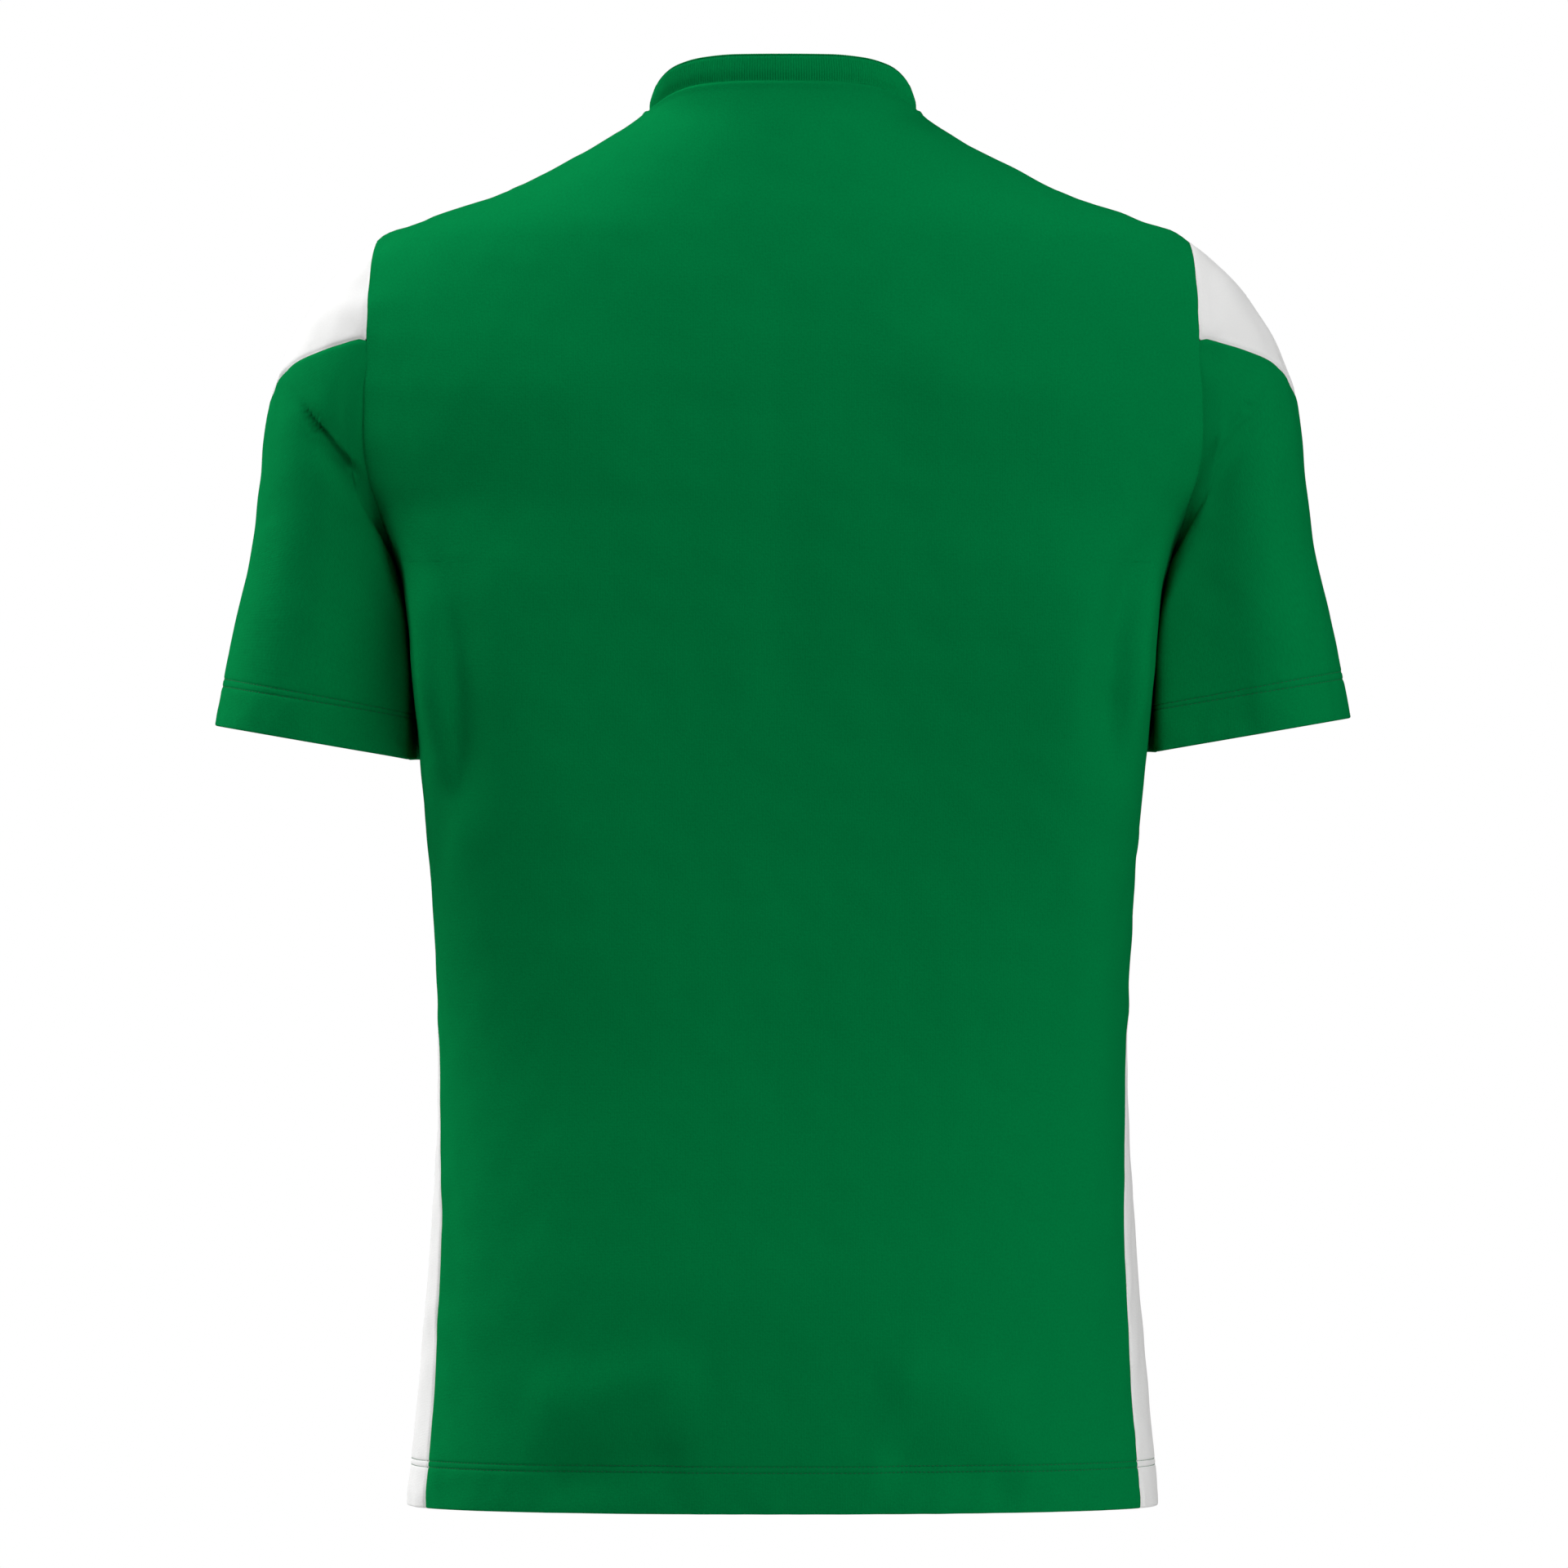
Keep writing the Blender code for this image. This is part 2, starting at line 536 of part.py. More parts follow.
def sleeve_pieces(side, lift):
    """Grids of a sleeve and of its insert: points, normals and walls."""
    a = arm_angles()
    reach = insert_share(a, side, lift)
    half = 0.5 * SEAM_GAP
    start = reach + gap_share(a, reach, side, lift, half)
    spread = np.linspace(0.0, 1.0, SLEEVE_ROWS + 1)
    rows, normals, walls = [], [], []
    stops = [start + (HEM_T - 0.006 - start) * s for s in spread]
    stops += [np.full(len(a), v) for v in (HEM_T, 0.5 + 0.5 * HEM_T, 1.0)]
    for k, t in enumerate(stops):
        p, n = sleeve_draped(a, t, side, lift)
        if k == 0:
            at_armhole = (reach <= 0.0)[:, None]
            n = np.where(at_armhole, seam_normal(a, n, side), n)
        rows.append(p)
        normals.append(n)
        walls.append(CLOTH + (HEM_EXTRA if k > SLEEVE_ROWS else 0.0))
    sleeve = np.array(rows), np.array(normals), np.array(walls)

    inside = [k for k in range(len(a)) if reach[k] > 0.0]
    order = sorted(inside, key=lambda k: a[k] if a[k] < math.pi else a[k] - 2.0 * math.pi)
    ia, ir = a[order], reach[order]
    first = gap_share(ia, np.zeros(len(ia)), side, lift, half)
    last = ir - gap_share(ia, ir, side, lift, half)
    rows, normals = [], []
    for s in np.linspace(0.0, 1.0, INSERT_ROWS + 1):
        t = first + (last - first) * s
        p, n = sleeve_draped(ia, t, side, lift)
        if s == 0.0:
            n = seam_normal(ia, n, side)
        rows.append(p)
        normals.append(n)
    insert = np.array(rows), np.array(normals), np.full(INSERT_ROWS + 1, CLOTH)
    return sleeve, insert


def shell(name, outer, normal, walls, material, round_it=False):
    """A closed cloth wall: outer grid, inner grid a wall's thickness in, and the edges between."""
    inner = outer - normal * np.asarray(walls)[:, None, None]
    rows, columns = outer.shape[:2]
    points = np.concatenate([outer.reshape(-1, 3), inner.reshape(-1, 3)])
    half = rows * columns
    faces = []
    span = columns if round_it else columns - 1
    for i in range(rows - 1):
        for j in range(span):
            k = (j + 1) % columns
            a, b, c, d = i * columns + j, i * columns + k, (i + 1) * columns + k, (i + 1) * columns + j
            faces.append((a, b, c, d))
            faces.append((d + half, c + half, b + half, a + half))
    for j in range(span):
        k = (j + 1) % columns
        a, b = j, k
        faces.append((b, a, a + half, b + half))
        a, b = (rows - 1) * columns + j, (rows - 1) * columns + k
        faces.append((a, b, b + half, a + half))
    if not round_it:
        for i in range(rows - 1):
            a, b = i * columns, (i + 1) * columns
            faces.append((a, b, b + half, a + half))
            a, b = i * columns + columns - 1, (i + 1) * columns + columns - 1
            faces.append((b, a, a + half, b + half))
    return solid(name, points, faces, material)


def solid(name, points, faces, material):
    """A mesh object that faces outward."""
    points = np.asarray(points)
    volume = 0.0
    for face in faces:
        for k in range(1, len(face) - 1):
            p, q, r = points[face[0]], points[face[k]], points[face[k + 1]]
            volume += float(np.dot(p, np.cross(q, r)))
    if volume < 0.0:
        faces = [tuple(reversed(face)) for face in faces]
    mesh = bpy.data.meshes.new(name)
    mesh.from_pydata([tuple(p) for p in points.tolist()], [], faces)
    mesh.update()
    mesh.shade_smooth()
    mesh.set_sharp_from_angle(angle=math.radians(40.0))
    mesh.materials.append(material)
    piece = bpy.data.objects.new(name, mesh)
    bpy.data.collections["football_jersey"].objects.link(piece)
    return piece


def cloth(name, kind, roughness):
    """A plain Principled material for one piece."""
    material = bpy.data.materials.new(name)
    material.use_nodes = True
    node = material.node_tree.nodes["Principled BSDF"]
    node.inputs["Base Color"].default_value = COLOURS[kind]
    node.inputs["Roughness"].default_value = roughness
    material.diffuse_color = COLOURS[kind]
    return material


def collar(back_top, front_top):
    """The neckband: a doubled rib strip that stands on the neckline."""
    base = np.concatenate([back_top, front_top[::-1]])
    ends = [0, len(back_top) - 1, len(back_top), len(base) - 1]
    base[ends[0]] = base[ends[3]] = 0.5 * (base[ends[0]] + base[ends[3]])
    base[ends[1]] = base[ends[2]] = 0.5 * (base[ends[1]] + base[ends[2]])
    base = np.delete(base, [ends[2], ends[3]], axis=0)
    surface = body_normal(base)
    along = np.roll(base, -1, axis=0) - np.roll(base, 1, axis=0)
    along /= np.linalg.norm(along, axis=1, keepdims=True)
    up = np.cross(along, surface)
    up *= np.sign(up[:, 2:3])
    rise = up + np.array([0.0, 0.0, 1.0])
    rise /= np.linalg.norm(rise, axis=1, keepdims=True)
    out = np.cross(rise, along)
    out /= np.linalg.norm(out, axis=1, keepdims=True)
    out *= np.sign(np.sum(out * surface, axis=1, keepdims=True))
    height, wall = BAND_HEIGHT, BAND_WALL
    section = (
        # along the band's rise, out of its plane
        (SEAM_GAP, 0.0),
        (0.30 * height, 0.0005),
        (0.80 * height, 0.0003),
        (0.95 * height, -0.15 * wall),
        (1.00 * height, -0.50 * wall),
        (0.95 * height, -0.85 * wall),
        (0.50 * height, -1.00 * wall),
        (SEAM_GAP, -0.80 * wall),
    )
    grid = np.array([base + rise * r + out * o for r, o in section])
    count, around = len(section), len(base)
    points = grid.reshape(-1, 3)
    faces = []
    for i in range(count):
        for j in range(around):
            k, m = (j + 1) % around, (i + 1) % count
            faces.append((i * around + j, i * around + k, m * around + k, m * around + j))
    return solid("collar", points, faces, cloth("collar", "green_rib", 0.9))


def build():
    """Make every piece."""
    for thing in list(bpy.data.objects):
        bpy.data.objects.remove(thing, do_unlink=True)
    bpy.context.scene.collection.children.link(bpy.data.collections.new("football_jersey"))
    tops = {}
    for face in ("back", "front"):
        rows, walls = face_panel(face)
        points, normals = draped(rows)
        edge_angles = arm_angles()
        tops[face] = points[-1]
        # the armhole's edge turns its wall to meet the sleeve's
        first = len(low_heights()) - 1
        half = sum(ARM_CELLS[:3])
        if face == "back":
            steps = list(edge_angles[half::-1])
        else:
            steps = list(edge_angles[half + ARM_CELLS[3]:]) + [2.0 * math.pi]
        steps = np.array(steps)
        for side, where in ((1, 0), (-1, -1)):
            own = normals[first:first + len(steps), where]
            sleeve = sleeve_normal(steps, np.full(len(steps), 0.004), side, 0.0)
            share = smooth((np.sum(own * sleeve, axis=-1) - 0.1) / 0.6)[:, None]
            mixed = own + sleeve * share
            normals[first:first + len(steps), where] = mixed / np.linalg.norm(mixed, axis=1, keepdims=True)
        name = face + "_panel"
        shell(name, points, normals, walls, cloth(name, "green_knit", 0.85))
    for name, side, lift in SLEEVES:
        rows, walls = side_panel(side)
        points, normals = draped(rows)
        shell("side_panel_" + name, points, normals, walls, cloth("side_panel_" + name, "white_knit", 0.85))
        sleeve, insert = sleeve_pieces(side, lift)
        shell("sleeve_" + name, *sleeve, cloth("sleeve_" + name, "green_knit", 0.85), round_it=True)
        shell("cap_insert_" + name, *insert, cloth("cap_insert_" + name, "white_knit", 0.85))
    collar(tops["back"], tops["front"])


build()
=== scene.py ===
"""Football jersey, filled out as worn and hollow: nine knitted pieces with their seams, hems and stitching.

Metres, +Z up, the front faces -Y and the wearer's left is +X. Z = 0 is the height of the neck points,
where the shoulder seams meet the neckband.
"""
import logging
import math
from dataclasses import dataclass, field
from enum import Enum
from typing import ClassVar

import bpy
import numpy as np
from mathutils import Matrix, Vector, kdtree


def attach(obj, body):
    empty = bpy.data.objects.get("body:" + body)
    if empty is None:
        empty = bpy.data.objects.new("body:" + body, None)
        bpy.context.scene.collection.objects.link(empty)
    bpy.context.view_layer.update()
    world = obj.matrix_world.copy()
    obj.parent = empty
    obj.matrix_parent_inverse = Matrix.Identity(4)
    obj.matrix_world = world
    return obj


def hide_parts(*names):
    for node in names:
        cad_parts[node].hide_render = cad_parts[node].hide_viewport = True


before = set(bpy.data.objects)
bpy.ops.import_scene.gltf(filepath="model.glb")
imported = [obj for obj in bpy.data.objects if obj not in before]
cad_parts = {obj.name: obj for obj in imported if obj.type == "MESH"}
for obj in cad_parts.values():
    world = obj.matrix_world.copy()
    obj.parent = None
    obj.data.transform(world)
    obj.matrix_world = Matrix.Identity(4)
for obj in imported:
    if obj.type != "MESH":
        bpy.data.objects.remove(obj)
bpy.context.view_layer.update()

LOG = logging.getLogger("football_jersey")
Array = np.ndarray
Table = tuple[tuple[float, ...], ...]
Place = tuple[float, float]
Colour = tuple[float, float, float]
Object = bpy.types.Object
Material = bpy.types.Material

# Distances from a seam at which the cloth has a line of points, so that its rolled edge is smooth
EDGE_STEPS = (0.0, 0.0004, 0.0009, 0.0015, 0.0024, 0.0038, 0.0060)
# A distance that counts as out of reach
FAR = 1.0
# How far a cloth's normal points forwards or backwards where its folds begin, and until they are whole
TURNED, TURN_RANGE = 0.10, 0.45
# Steps along a line that is laid out before its points are spread
LINE_STEPS = 321
# Corners of a quad on a surface, at an end row and at an end column, as steps of row, column and layer
AROUND = ((0, 0, 0), (0, 1, 0), (1, 1, 0), (1, 0, 0))
END_ROW = ((0, 1, 0), (0, 0, 0), (0, 0, 1), (0, 1, 1))
END_COLUMN = ((0, 0, 0), (1, 0, 0), (1, 0, 1), (0, 0, 1))


class Face(Enum):
    """The two large faces of the jersey."""

    BACK = "back"
    FRONT = "front"

    @property
    def sign(self) -> float:
        """The way the face looks along Y."""
        return 1.0 if self is Face.BACK else -1.0


class Side(Enum):
    """The wearer's sides."""

    LEFT = "left"
    RIGHT = "right"

    @property
    def sign(self) -> float:
        """The side's direction along X."""
        return 1.0 if self is Side.LEFT else -1.0

    @property
    def mirror(self) -> Array:
        """Factors that bring a point of the left side to this side."""
        return np.array([self.sign, 1.0, 1.0])


class Yarn(Enum):
    """The jersey's three yarns by name: green knit, white knit and green rib."""

    GREEN = "green_knit"
    WHITE = "white_knit"
    RIB = "green_rib"


# ---- Lines, waves and seams ----


def smooth(t: Array) -> Array:
    """Ease from 0 to 1."""
    t = np.clip(t, 0.0, 1.0)
    return t * t * (3.0 - 2.0 * t)


def unit(v: Array) -> Array:
    """Vectors brought to length 1."""
    return v / np.maximum(np.linalg.norm(v, axis=-1, keepdims=True), 1e-12)


def run_of(points: Array) -> Array:
    """Running length along a line of points."""
    return np.concatenate([[0.0], np.cumsum(np.linalg.norm(np.diff(points, axis=0), axis=1))])


def blend(at: Array, run: Array, values: Array) -> Array:
    """Vectors given at running lengths, read at other lengths."""
    return np.stack([np.interp(at, run, column) for column in values.T], axis=1)


def at_lengths(points: Array, lengths: Array) -> Array:
    """Points of a line at running lengths."""
    return blend(lengths, run_of(points), points)


def spread(points: Array, count: int) -> Array:
    """Lay points along a line, close together near both ends and even between.

    Args:
        points: The line.
        count: How many even steps the middle has.

    Returns:
        The new points, ends included.
    """
    whole = run_of(points)[-1]
    edge = np.array(EDGE_STEPS)
    middle = np.linspace(edge[-1], whole - edge[-1], count + 1)[1:-1]
    return at_lengths(points, np.concatenate([edge, middle, (whole - edge)[::-1]]))


class SmoothLine:
    """A smooth line through one column of a table over its first, which never overshoots its points."""

    def __init__(self, table: Table, value: int = 1) -> None:
        """Work out the slopes.

        Args:
            table: Rows of numbers.
            value: The column the line follows.
        """
        rows = sorted((row[0], row[value]) for row in table)
        self.xs = np.array([row[0] for row in rows])
        self.ys = np.array([row[1] for row in rows])
        step = np.diff(self.xs)
        rise = np.diff(self.ys) / step
        self.ms = np.concatenate([rise[:1], np.zeros(len(rise) - 1), rise[-1:]])
        for i in range(1, len(rise)):
            if rise[i - 1] * rise[i] > 0.0:
                a, b = 2.0 * step[i] + step[i - 1], step[i] + 2.0 * step[i - 1]
                self.ms[i] = (a + b) / (a / rise[i - 1] + b / rise[i])

    def __call__(self, at: Array | float) -> Array:
        """Values of the line.

        Args:
            at: Where it is read; beyond its ends it stays level.

        Returns:
            Its values there.
        """
        at = np.clip(np.asarray(at, dtype=float), self.xs[0], self.xs[-1])
        i = np.clip(np.searchsorted(self.xs, at, side="right") - 1, 0, len(self.xs) - 2)
        h = self.xs[i + 1] - self.xs[i]
        t = (at - self.xs[i]) / h
        return ((2 * t**3 - 3 * t**2 + 1) * self.ys[i] + (t**3 - 2 * t**2 + t) * h * self.ms[i]
                + (3 * t**2 - 2 * t**3) * self.ys[i + 1] + (t**3 - t**2) * h * self.ms[i + 1])


@dataclass(frozen=True)
class Unevenness:
    """The small unevenness of hanging cloth: seeded waves in space, mostly between -1 and 1."""

    seed: int
    shortest: float
    longest: float
    waves: int = 20

    def __call__(self, points: Array) -> Array:
        """Height of the waves at points.

        Args:
            points: Points in space.

        Returns:
            The height at each.
        """
        rng = np.random.default_rng(self.seed)
        ways = unit(rng.normal(size=(self.waves, 3)))
        lengths = np.exp(rng.uniform(math.log(self.shortest), math.log(self.longest), self.waves))
        phases = rng.uniform(0.0, 2.0 * math.pi, self.waves)
        swing = np.sin(points @ (2.0 * math.pi * ways / lengths[:, None]).T + phases)
        return swing.sum(axis=-1) / math.sqrt(2.0 * self.waves)


@dataclass(frozen=True)
class Crease:
    """A fold along a bent line in x and z: a ridge (height above 0) or a trough (below 0).

    It may be steeper on one side (lean), and it fades over a share of its length at each end or, without
    a fade, ends round.
    """

    path: tuple[Place, ...]
    half_width: float
    height: float
    lean: float = 1.0
    fade: Place | None = (0.25, 0.25)

    def lift(self, x: Array, z: Array) -> Array:
        """Height of the fold at places on its face.

        Args:
            x: Distances to the left of the middle.
            z: Heights.

        Returns:
            The height at each place.
        """
        away, share, run = np.full(np.shape(x), FAR), np.zeros(np.shape(x)), 0.0
        left = np.zeros(np.shape(x), dtype=bool)
        for (x0, z0), (x1, z1) in zip(self.path, self.path[1:]):
            dx, dz = x1 - x0, z1 - z0
            long = math.hypot(dx, dz)
            t = np.clip(((x - x0) * dx + (z - z0) * dz) / long**2, 0.0, 1.0)
            off = np.hypot(x - x0 - t * dx, z - z0 - t * dz)
            near = off < away
            away, share = np.where(near, off, away), np.where(near, run + t * long, share)
            left = np.where(near, (x - x0) * dz < (z - z0) * dx, left)
            run += long
        share = share / run
        away = away / (self.half_width * np.where(left, self.lean, 1.0 / self.lean))
        height = self.height * np.exp(-2.0 * away**2)
        if self.fade is None:
            return height
        return height * smooth(share / self.fade[0]) * smooth((1.0 - share) / self.fade[1])


def lay_folds(folds: dict[Face, tuple[Crease, ...]], points: Array, normal: Array, behind: Array,
              side: float = 1.0, share: Array | float = 1.0) -> Array:
    """Lay folds on the points of a plain cloth.

    Args:
        folds: The folds of each face.
        points: The points.
        normal: Their outward normals; a fold ends where the cloth turns to the side.
        behind: True where a point is on the back.
        side: The sign of X on the side that the folds are given for.
        share: How much of its height a fold has at each point.

    Returns:
        The points with the folds.
    """
    x, z = points[..., 0] * side, points[..., 2]
    back, front = (sum((fold.lift(x, z) for fold in folds[face]), np.zeros(np.shape(x))) for face in Face)
    face_on = smooth((np.abs(normal[..., 1]) - TURNED) / TURN_RANGE) * share
    return points + normal * (np.where(behind, back, front) * face_on)[..., None]


class Seam:
    """A sewn seam: a line of points and the way out of the cloth at each."""

    SPACING = 0.0008
    REACH = 0.03

    def __init__(self, points: Array, outward: Array, depth: float = 1.0) -> None:
        """Lay the seam out in even small steps.

        Args:
            points: The line of the seam.
            outward: Unit vectors out of the cloth at those points.
            depth: How deep the seam sinks in, as a share of the usual groove.
        """
        self.depth = depth
        run = run_of(points)
        at = np.linspace(0.0, run[-1], max(int(run[-1] / self.SPACING), 2) + 1)
        self.points = at_lengths(points, at)
        self.outward = unit(blend(at, run, outward))
        self.tree = kdtree.KDTree(len(self.points))
        for i, p in enumerate(self.points.tolist()):
            self.tree.insert(p, i)
        self.tree.balance()

    def near(self, points: Array) -> tuple[Array, Array]:
        """Find the nearest spot of the seam for each point within reach of its box.

        Args:
            points: Points of a cloth.

        Returns:
            The distances, and the ways out of the cloth at the nearest spots.
        """
        flat = points.reshape(-1, 3)
        low, high = self.points.min(axis=0) - self.REACH, self.points.max(axis=0) + self.REACH
        close = np.flatnonzero(np.all((flat > low) & (flat < high), axis=1))
        away = np.full(len(flat), FAR)
        outward = np.zeros((len(flat), 3))
        if len(close):
            spots = np.array([self.tree.find(p)[1] for p in flat[close].tolist()])
            best = np.full(len(close), FAR)
            for step in (-1, 0):
                a = np.clip(spots + step, 0, len(self.points) - 2)
                p, d = self.points[a], self.points[a + 1] - self.points[a]
                t = np.clip(np.sum((flat[close] - p) * d, axis=1) / np.sum(d * d, axis=1), 0.0, 1.0)
                best = np.minimum(best, np.linalg.norm(flat[close] - p - d * t[:, None], axis=1))
            away[close] = best
            outward[close] = self.outward[spots]
        return away.reshape(points.shape[:-1]), outward.reshape(points.shape)


# ---- The jersey's form ----


@dataclass
class Torso:
    """The body as level ovals, with its folds, armholes, neckline and side seams."""

    NORMAL_STEP: ClassVar[float] = 2e-5
    ARMHOLE_STEPS: ClassVar[int] = 1440
    LEAST_ANGLE: ClassVar[float] = 0.05

    half_widths: Table = (
        # z, half width, of body and sleeve head together down to the underarm
        (0.03, 0.056), (0.0138, 0.064), (0.0, 0.07), (-0.0127, 0.0891), (-0.025, 0.1103),
        (-0.0361, 0.1316), (-0.0454, 0.1535), (-0.053, 0.1757), (-0.062, 0.2002), (-0.0671, 0.2108),
        (-0.0861, 0.2361), (-0.1031, 0.2497), (-0.1205, 0.2553), (-0.1413, 0.2544), (-0.1583, 0.2497),
        (-0.1753, 0.2418), (-0.1901, 0.2312), (-0.2135, 0.2115), (-0.2304, 0.2018), (-0.2474, 0.1968),
        (-0.27, 0.1936), (-0.3, 0.191), (-0.3366, 0.1876), (-0.413, 0.1817), (-0.4872, 0.1788),
        (-0.5106, 0.179), (-0.5785, 0.1827), (-0.6549, 0.1886), (-0.7058, 0.1937), (-0.7236, 0.1952),
    )
    depths: Table = (
        # z, back, front, squareness of the oval behind and in front
        (0.03, 0.05, -0.042, 2.3, 2.3), (0.0138, 0.06, -0.05, 2.3, 2.3),
        (0.0, 0.0665, -0.06, 2.2, 2.2), (-0.0127, 0.0735, -0.07, 2.1, 2.1),
        (-0.0361, 0.085, -0.0835, 2.1, 2.1), (-0.0671, 0.0983, -0.099, 2.2, 2.2),
        (-0.1, 0.109, -0.1125, 2.3, 2.3), (-0.15, 0.1195, -0.128, 2.5, 2.4),
        (-0.2, 0.124, -0.136, 2.95, 2.4), (-0.235, 0.1235, -0.137, 4.2, 2.4),
        (-0.26, 0.122, -0.1365, 5.6, 2.4), (-0.3, 0.1185, -0.134, 7.0, 2.4),
        (-0.35, 0.114, -0.1305, 5.6, 2.38), (-0.4, 0.111, -0.127, 4.0, 2.35),
        (-0.48, 0.111, -0.124, 2.9, 2.3), (-0.56, 0.1185, -0.1235, 2.5, 2.3),
        (-0.62, 0.125, -0.125, 2.25, 2.35), (-0.67, 0.1228, -0.127, 2.12, 2.4),
        (-0.7236, 0.115, -0.129, 2.2, 2.4),
    )
    neck_back: Table = (
        # x, z, from the neck point to the middle
        (0.07, 0.0), (0.0658, 0.0031), (0.0552, 0.0092), (0.0424, 0.0124), (0.0255, 0.0137), (0.0, 0.0138),
    )
    neck_front: Table = (
        (0.07, 0.0), (0.0682, -0.01), (0.0655, -0.02), (0.058, -0.038), (0.045, -0.053),
        (0.028, -0.064), (0.014, -0.069), (0.0, -0.0705),
    )
    side_seams: Table = (
        # z, y of the back seam, y of the front seam
        (-0.235, -0.0005, -0.033), (-0.25, -0.006, -0.034), (-0.4, -0.007, -0.037),
        (-0.46, 0.008, -0.0395), (-0.485, 0.023, -0.041), (-0.53, 0.03, -0.044),
        (-0.58, 0.042, -0.052), (-0.65, 0.0402, -0.056), (-0.7236, 0.0413, -0.06),
    )
    hem_z: float = -0.7236
    armhole_mid_z: float = -0.1510
    armhole_half_z: float = 0.0840
    armhole_half_y: float = 0.0760
    armhole_squareness: float = 2.2
    insert_corner_z: float = -0.1195
    insert_corner_end: float = 0.0012
    side_panel_top: float = 0.0330
    arm_cells: tuple[int, ...] = (26, 1, 40, 12, 34, 1, 26)
    back_folds: tuple[Crease, ...] = (
        # across the shoulder blades
        Crease(((0.215, -0.138), (0.16, -0.146), (0.115, -0.15), (0.055, -0.154)), 0.046, 0.0042, 1.0,
               (0.35, 0.45)),
        Crease(((-0.185, -0.144), (-0.15, -0.152), (-0.095, -0.148), (-0.06, -0.118), (-0.03, -0.105)), 0.04,
               0.0042, 1.0, (0.3, 0.35)),
        # below the left armpit
        Crease(((0.18, -0.215), (0.177, -0.2304), (0.1732, -0.2602), (0.1706, -0.2983), (0.1689, -0.3365),
               (0.17, -0.39)), 0.015, -0.008, 0.6, (0.35, 0.35)),
        Crease(((0.208, -0.1965), (0.2007, -0.2177), (0.1931, -0.2389), (0.1867, -0.2644), (0.1835, -0.3026),
               (0.1815, -0.3365)), 0.009, 0.0035),
        Crease(((0.181, -0.34), (0.18, -0.366), (0.181, -0.41)), 0.011, -0.004, 1.0, (0.3, 0.6)),
        # below the right armpit
        Crease(((-0.19, -0.208), (-0.185, -0.2265), (-0.18, -0.2568), (-0.176, -0.2797), (-0.1725, -0.3179),
               (-0.1705, -0.365)), 0.014, -0.01, 1.5, (0.35, 0.4)),
        Crease(((-0.2071, -0.2109), (-0.199, -0.232), (-0.192, -0.256), (-0.187, -0.3), (-0.184, -0.338)),
               0.009, 0.003),
        Crease(((-0.157, -0.4), (-0.16, -0.58)), 0.022, 0.0025, fade=None),
        # above the hem
        Crease(((0.14, -0.674), (0.112, -0.666), (0.066, -0.655), (0.035, -0.656)), 0.026, 0.0048),
        Crease(((0.135, -0.708), (0.112, -0.705), (0.066, -0.697), (0.04, -0.7)), 0.018, -0.0046),
        Crease(((-0.045, -0.655), (-0.066, -0.656), (-0.1, -0.664), (-0.13, -0.674)), 0.026, 0.0042),
        Crease(((-0.045, -0.698), (-0.066, -0.698), (-0.1, -0.704), (-0.13, -0.71)), 0.018, -0.004),
        Crease(((0.0, -0.02), (0.0, -0.3)), 0.02, -0.0012, fade=None),
    )
    front_folds: tuple[Crease, ...] = (
        Crease(((0.0, -0.12), (0.0, -0.3)), 0.03, -0.002, fade=None),
        Crease(((0.15, -0.23), (0.12, -0.42)), 0.024, -0.0035, fade=None),
        Crease(((-0.15, -0.23), (-0.125, -0.4)), 0.024, -0.0035, fade=None),
        Crease(((0.085, -0.56), (0.078, -0.7)), 0.026, -0.004, fade=None),
        Crease(((-0.07, -0.58), (-0.082, -0.7)), 0.026, -0.004, fade=None),
    )

    def __post_init__(self) -> None:
        """Lay the smooth lines through the tables."""
        self.width = SmoothLine(self.half_widths)
        self.back, self.front = SmoothLine(self.depths), SmoothLine(self.depths, 2)
        self.square_back, self.square_front = SmoothLine(self.depths, 3), SmoothLine(self.depths, 4)
        self.side_lines = {Face.BACK: SmoothLine(self.side_seams), Face.FRONT: SmoothLine(self.side_seams, 2)}
        self.armhole_top_z = self.armhole_mid_z + self.armhole_half_z
        self.armhole_low_z = self.armhole_mid_z - self.armhole_half_z
        self.angles = self.arm_angles(self.arm_cells)
        self.folds = {Face.BACK: self.back_folds, Face.FRONT: self.front_folds}

    def half_oval(self, behind: Array | bool, z: Array) -> tuple[Array, Array]:
        """Depth and squareness of the half oval behind the side line or in front of it."""
        return (np.where(behind, self.back(z), -self.front(z)),
                np.where(behind, self.square_back(z), self.square_front(z)))

    def polar(self, angle: Array, z: Array) -> Array:
        """Points of the plain body at a compass angle (0 is the wearer's left, 90 degrees the back).

        Args:
            angle: Compass angles.
            z: Heights.

        Returns:
            The points.
        """
        angle, z = np.broadcast_arrays(np.asarray(angle, dtype=float), np.asarray(z, dtype=float))
        c, s = np.cos(angle), np.sin(angle)
        deep, n = self.half_oval(s >= 0.0, z)
        reach = ((np.abs(c) / self.width(z))**n + (np.abs(s) / deep)**n)**(-1.0 / n)
        return np.stack([reach * c, reach * s, z], axis=-1)

    def angle_at_y(self, y: Array, z: Array) -> Array:
        """Compass angle of the left side point that stands at y."""
        deep, n = self.half_oval(y >= 0.0, z)
        return np.arctan2(y, self.width(z) * (1.0 - (np.abs(y) / deep)**n)**(1.0 / n))

    def side_angle(self, face: Face, z: Array) -> Array:
        """Compass angle of the left side seam beside one face."""
        return self.angle_at_y(self.side_lines[face](z), z)

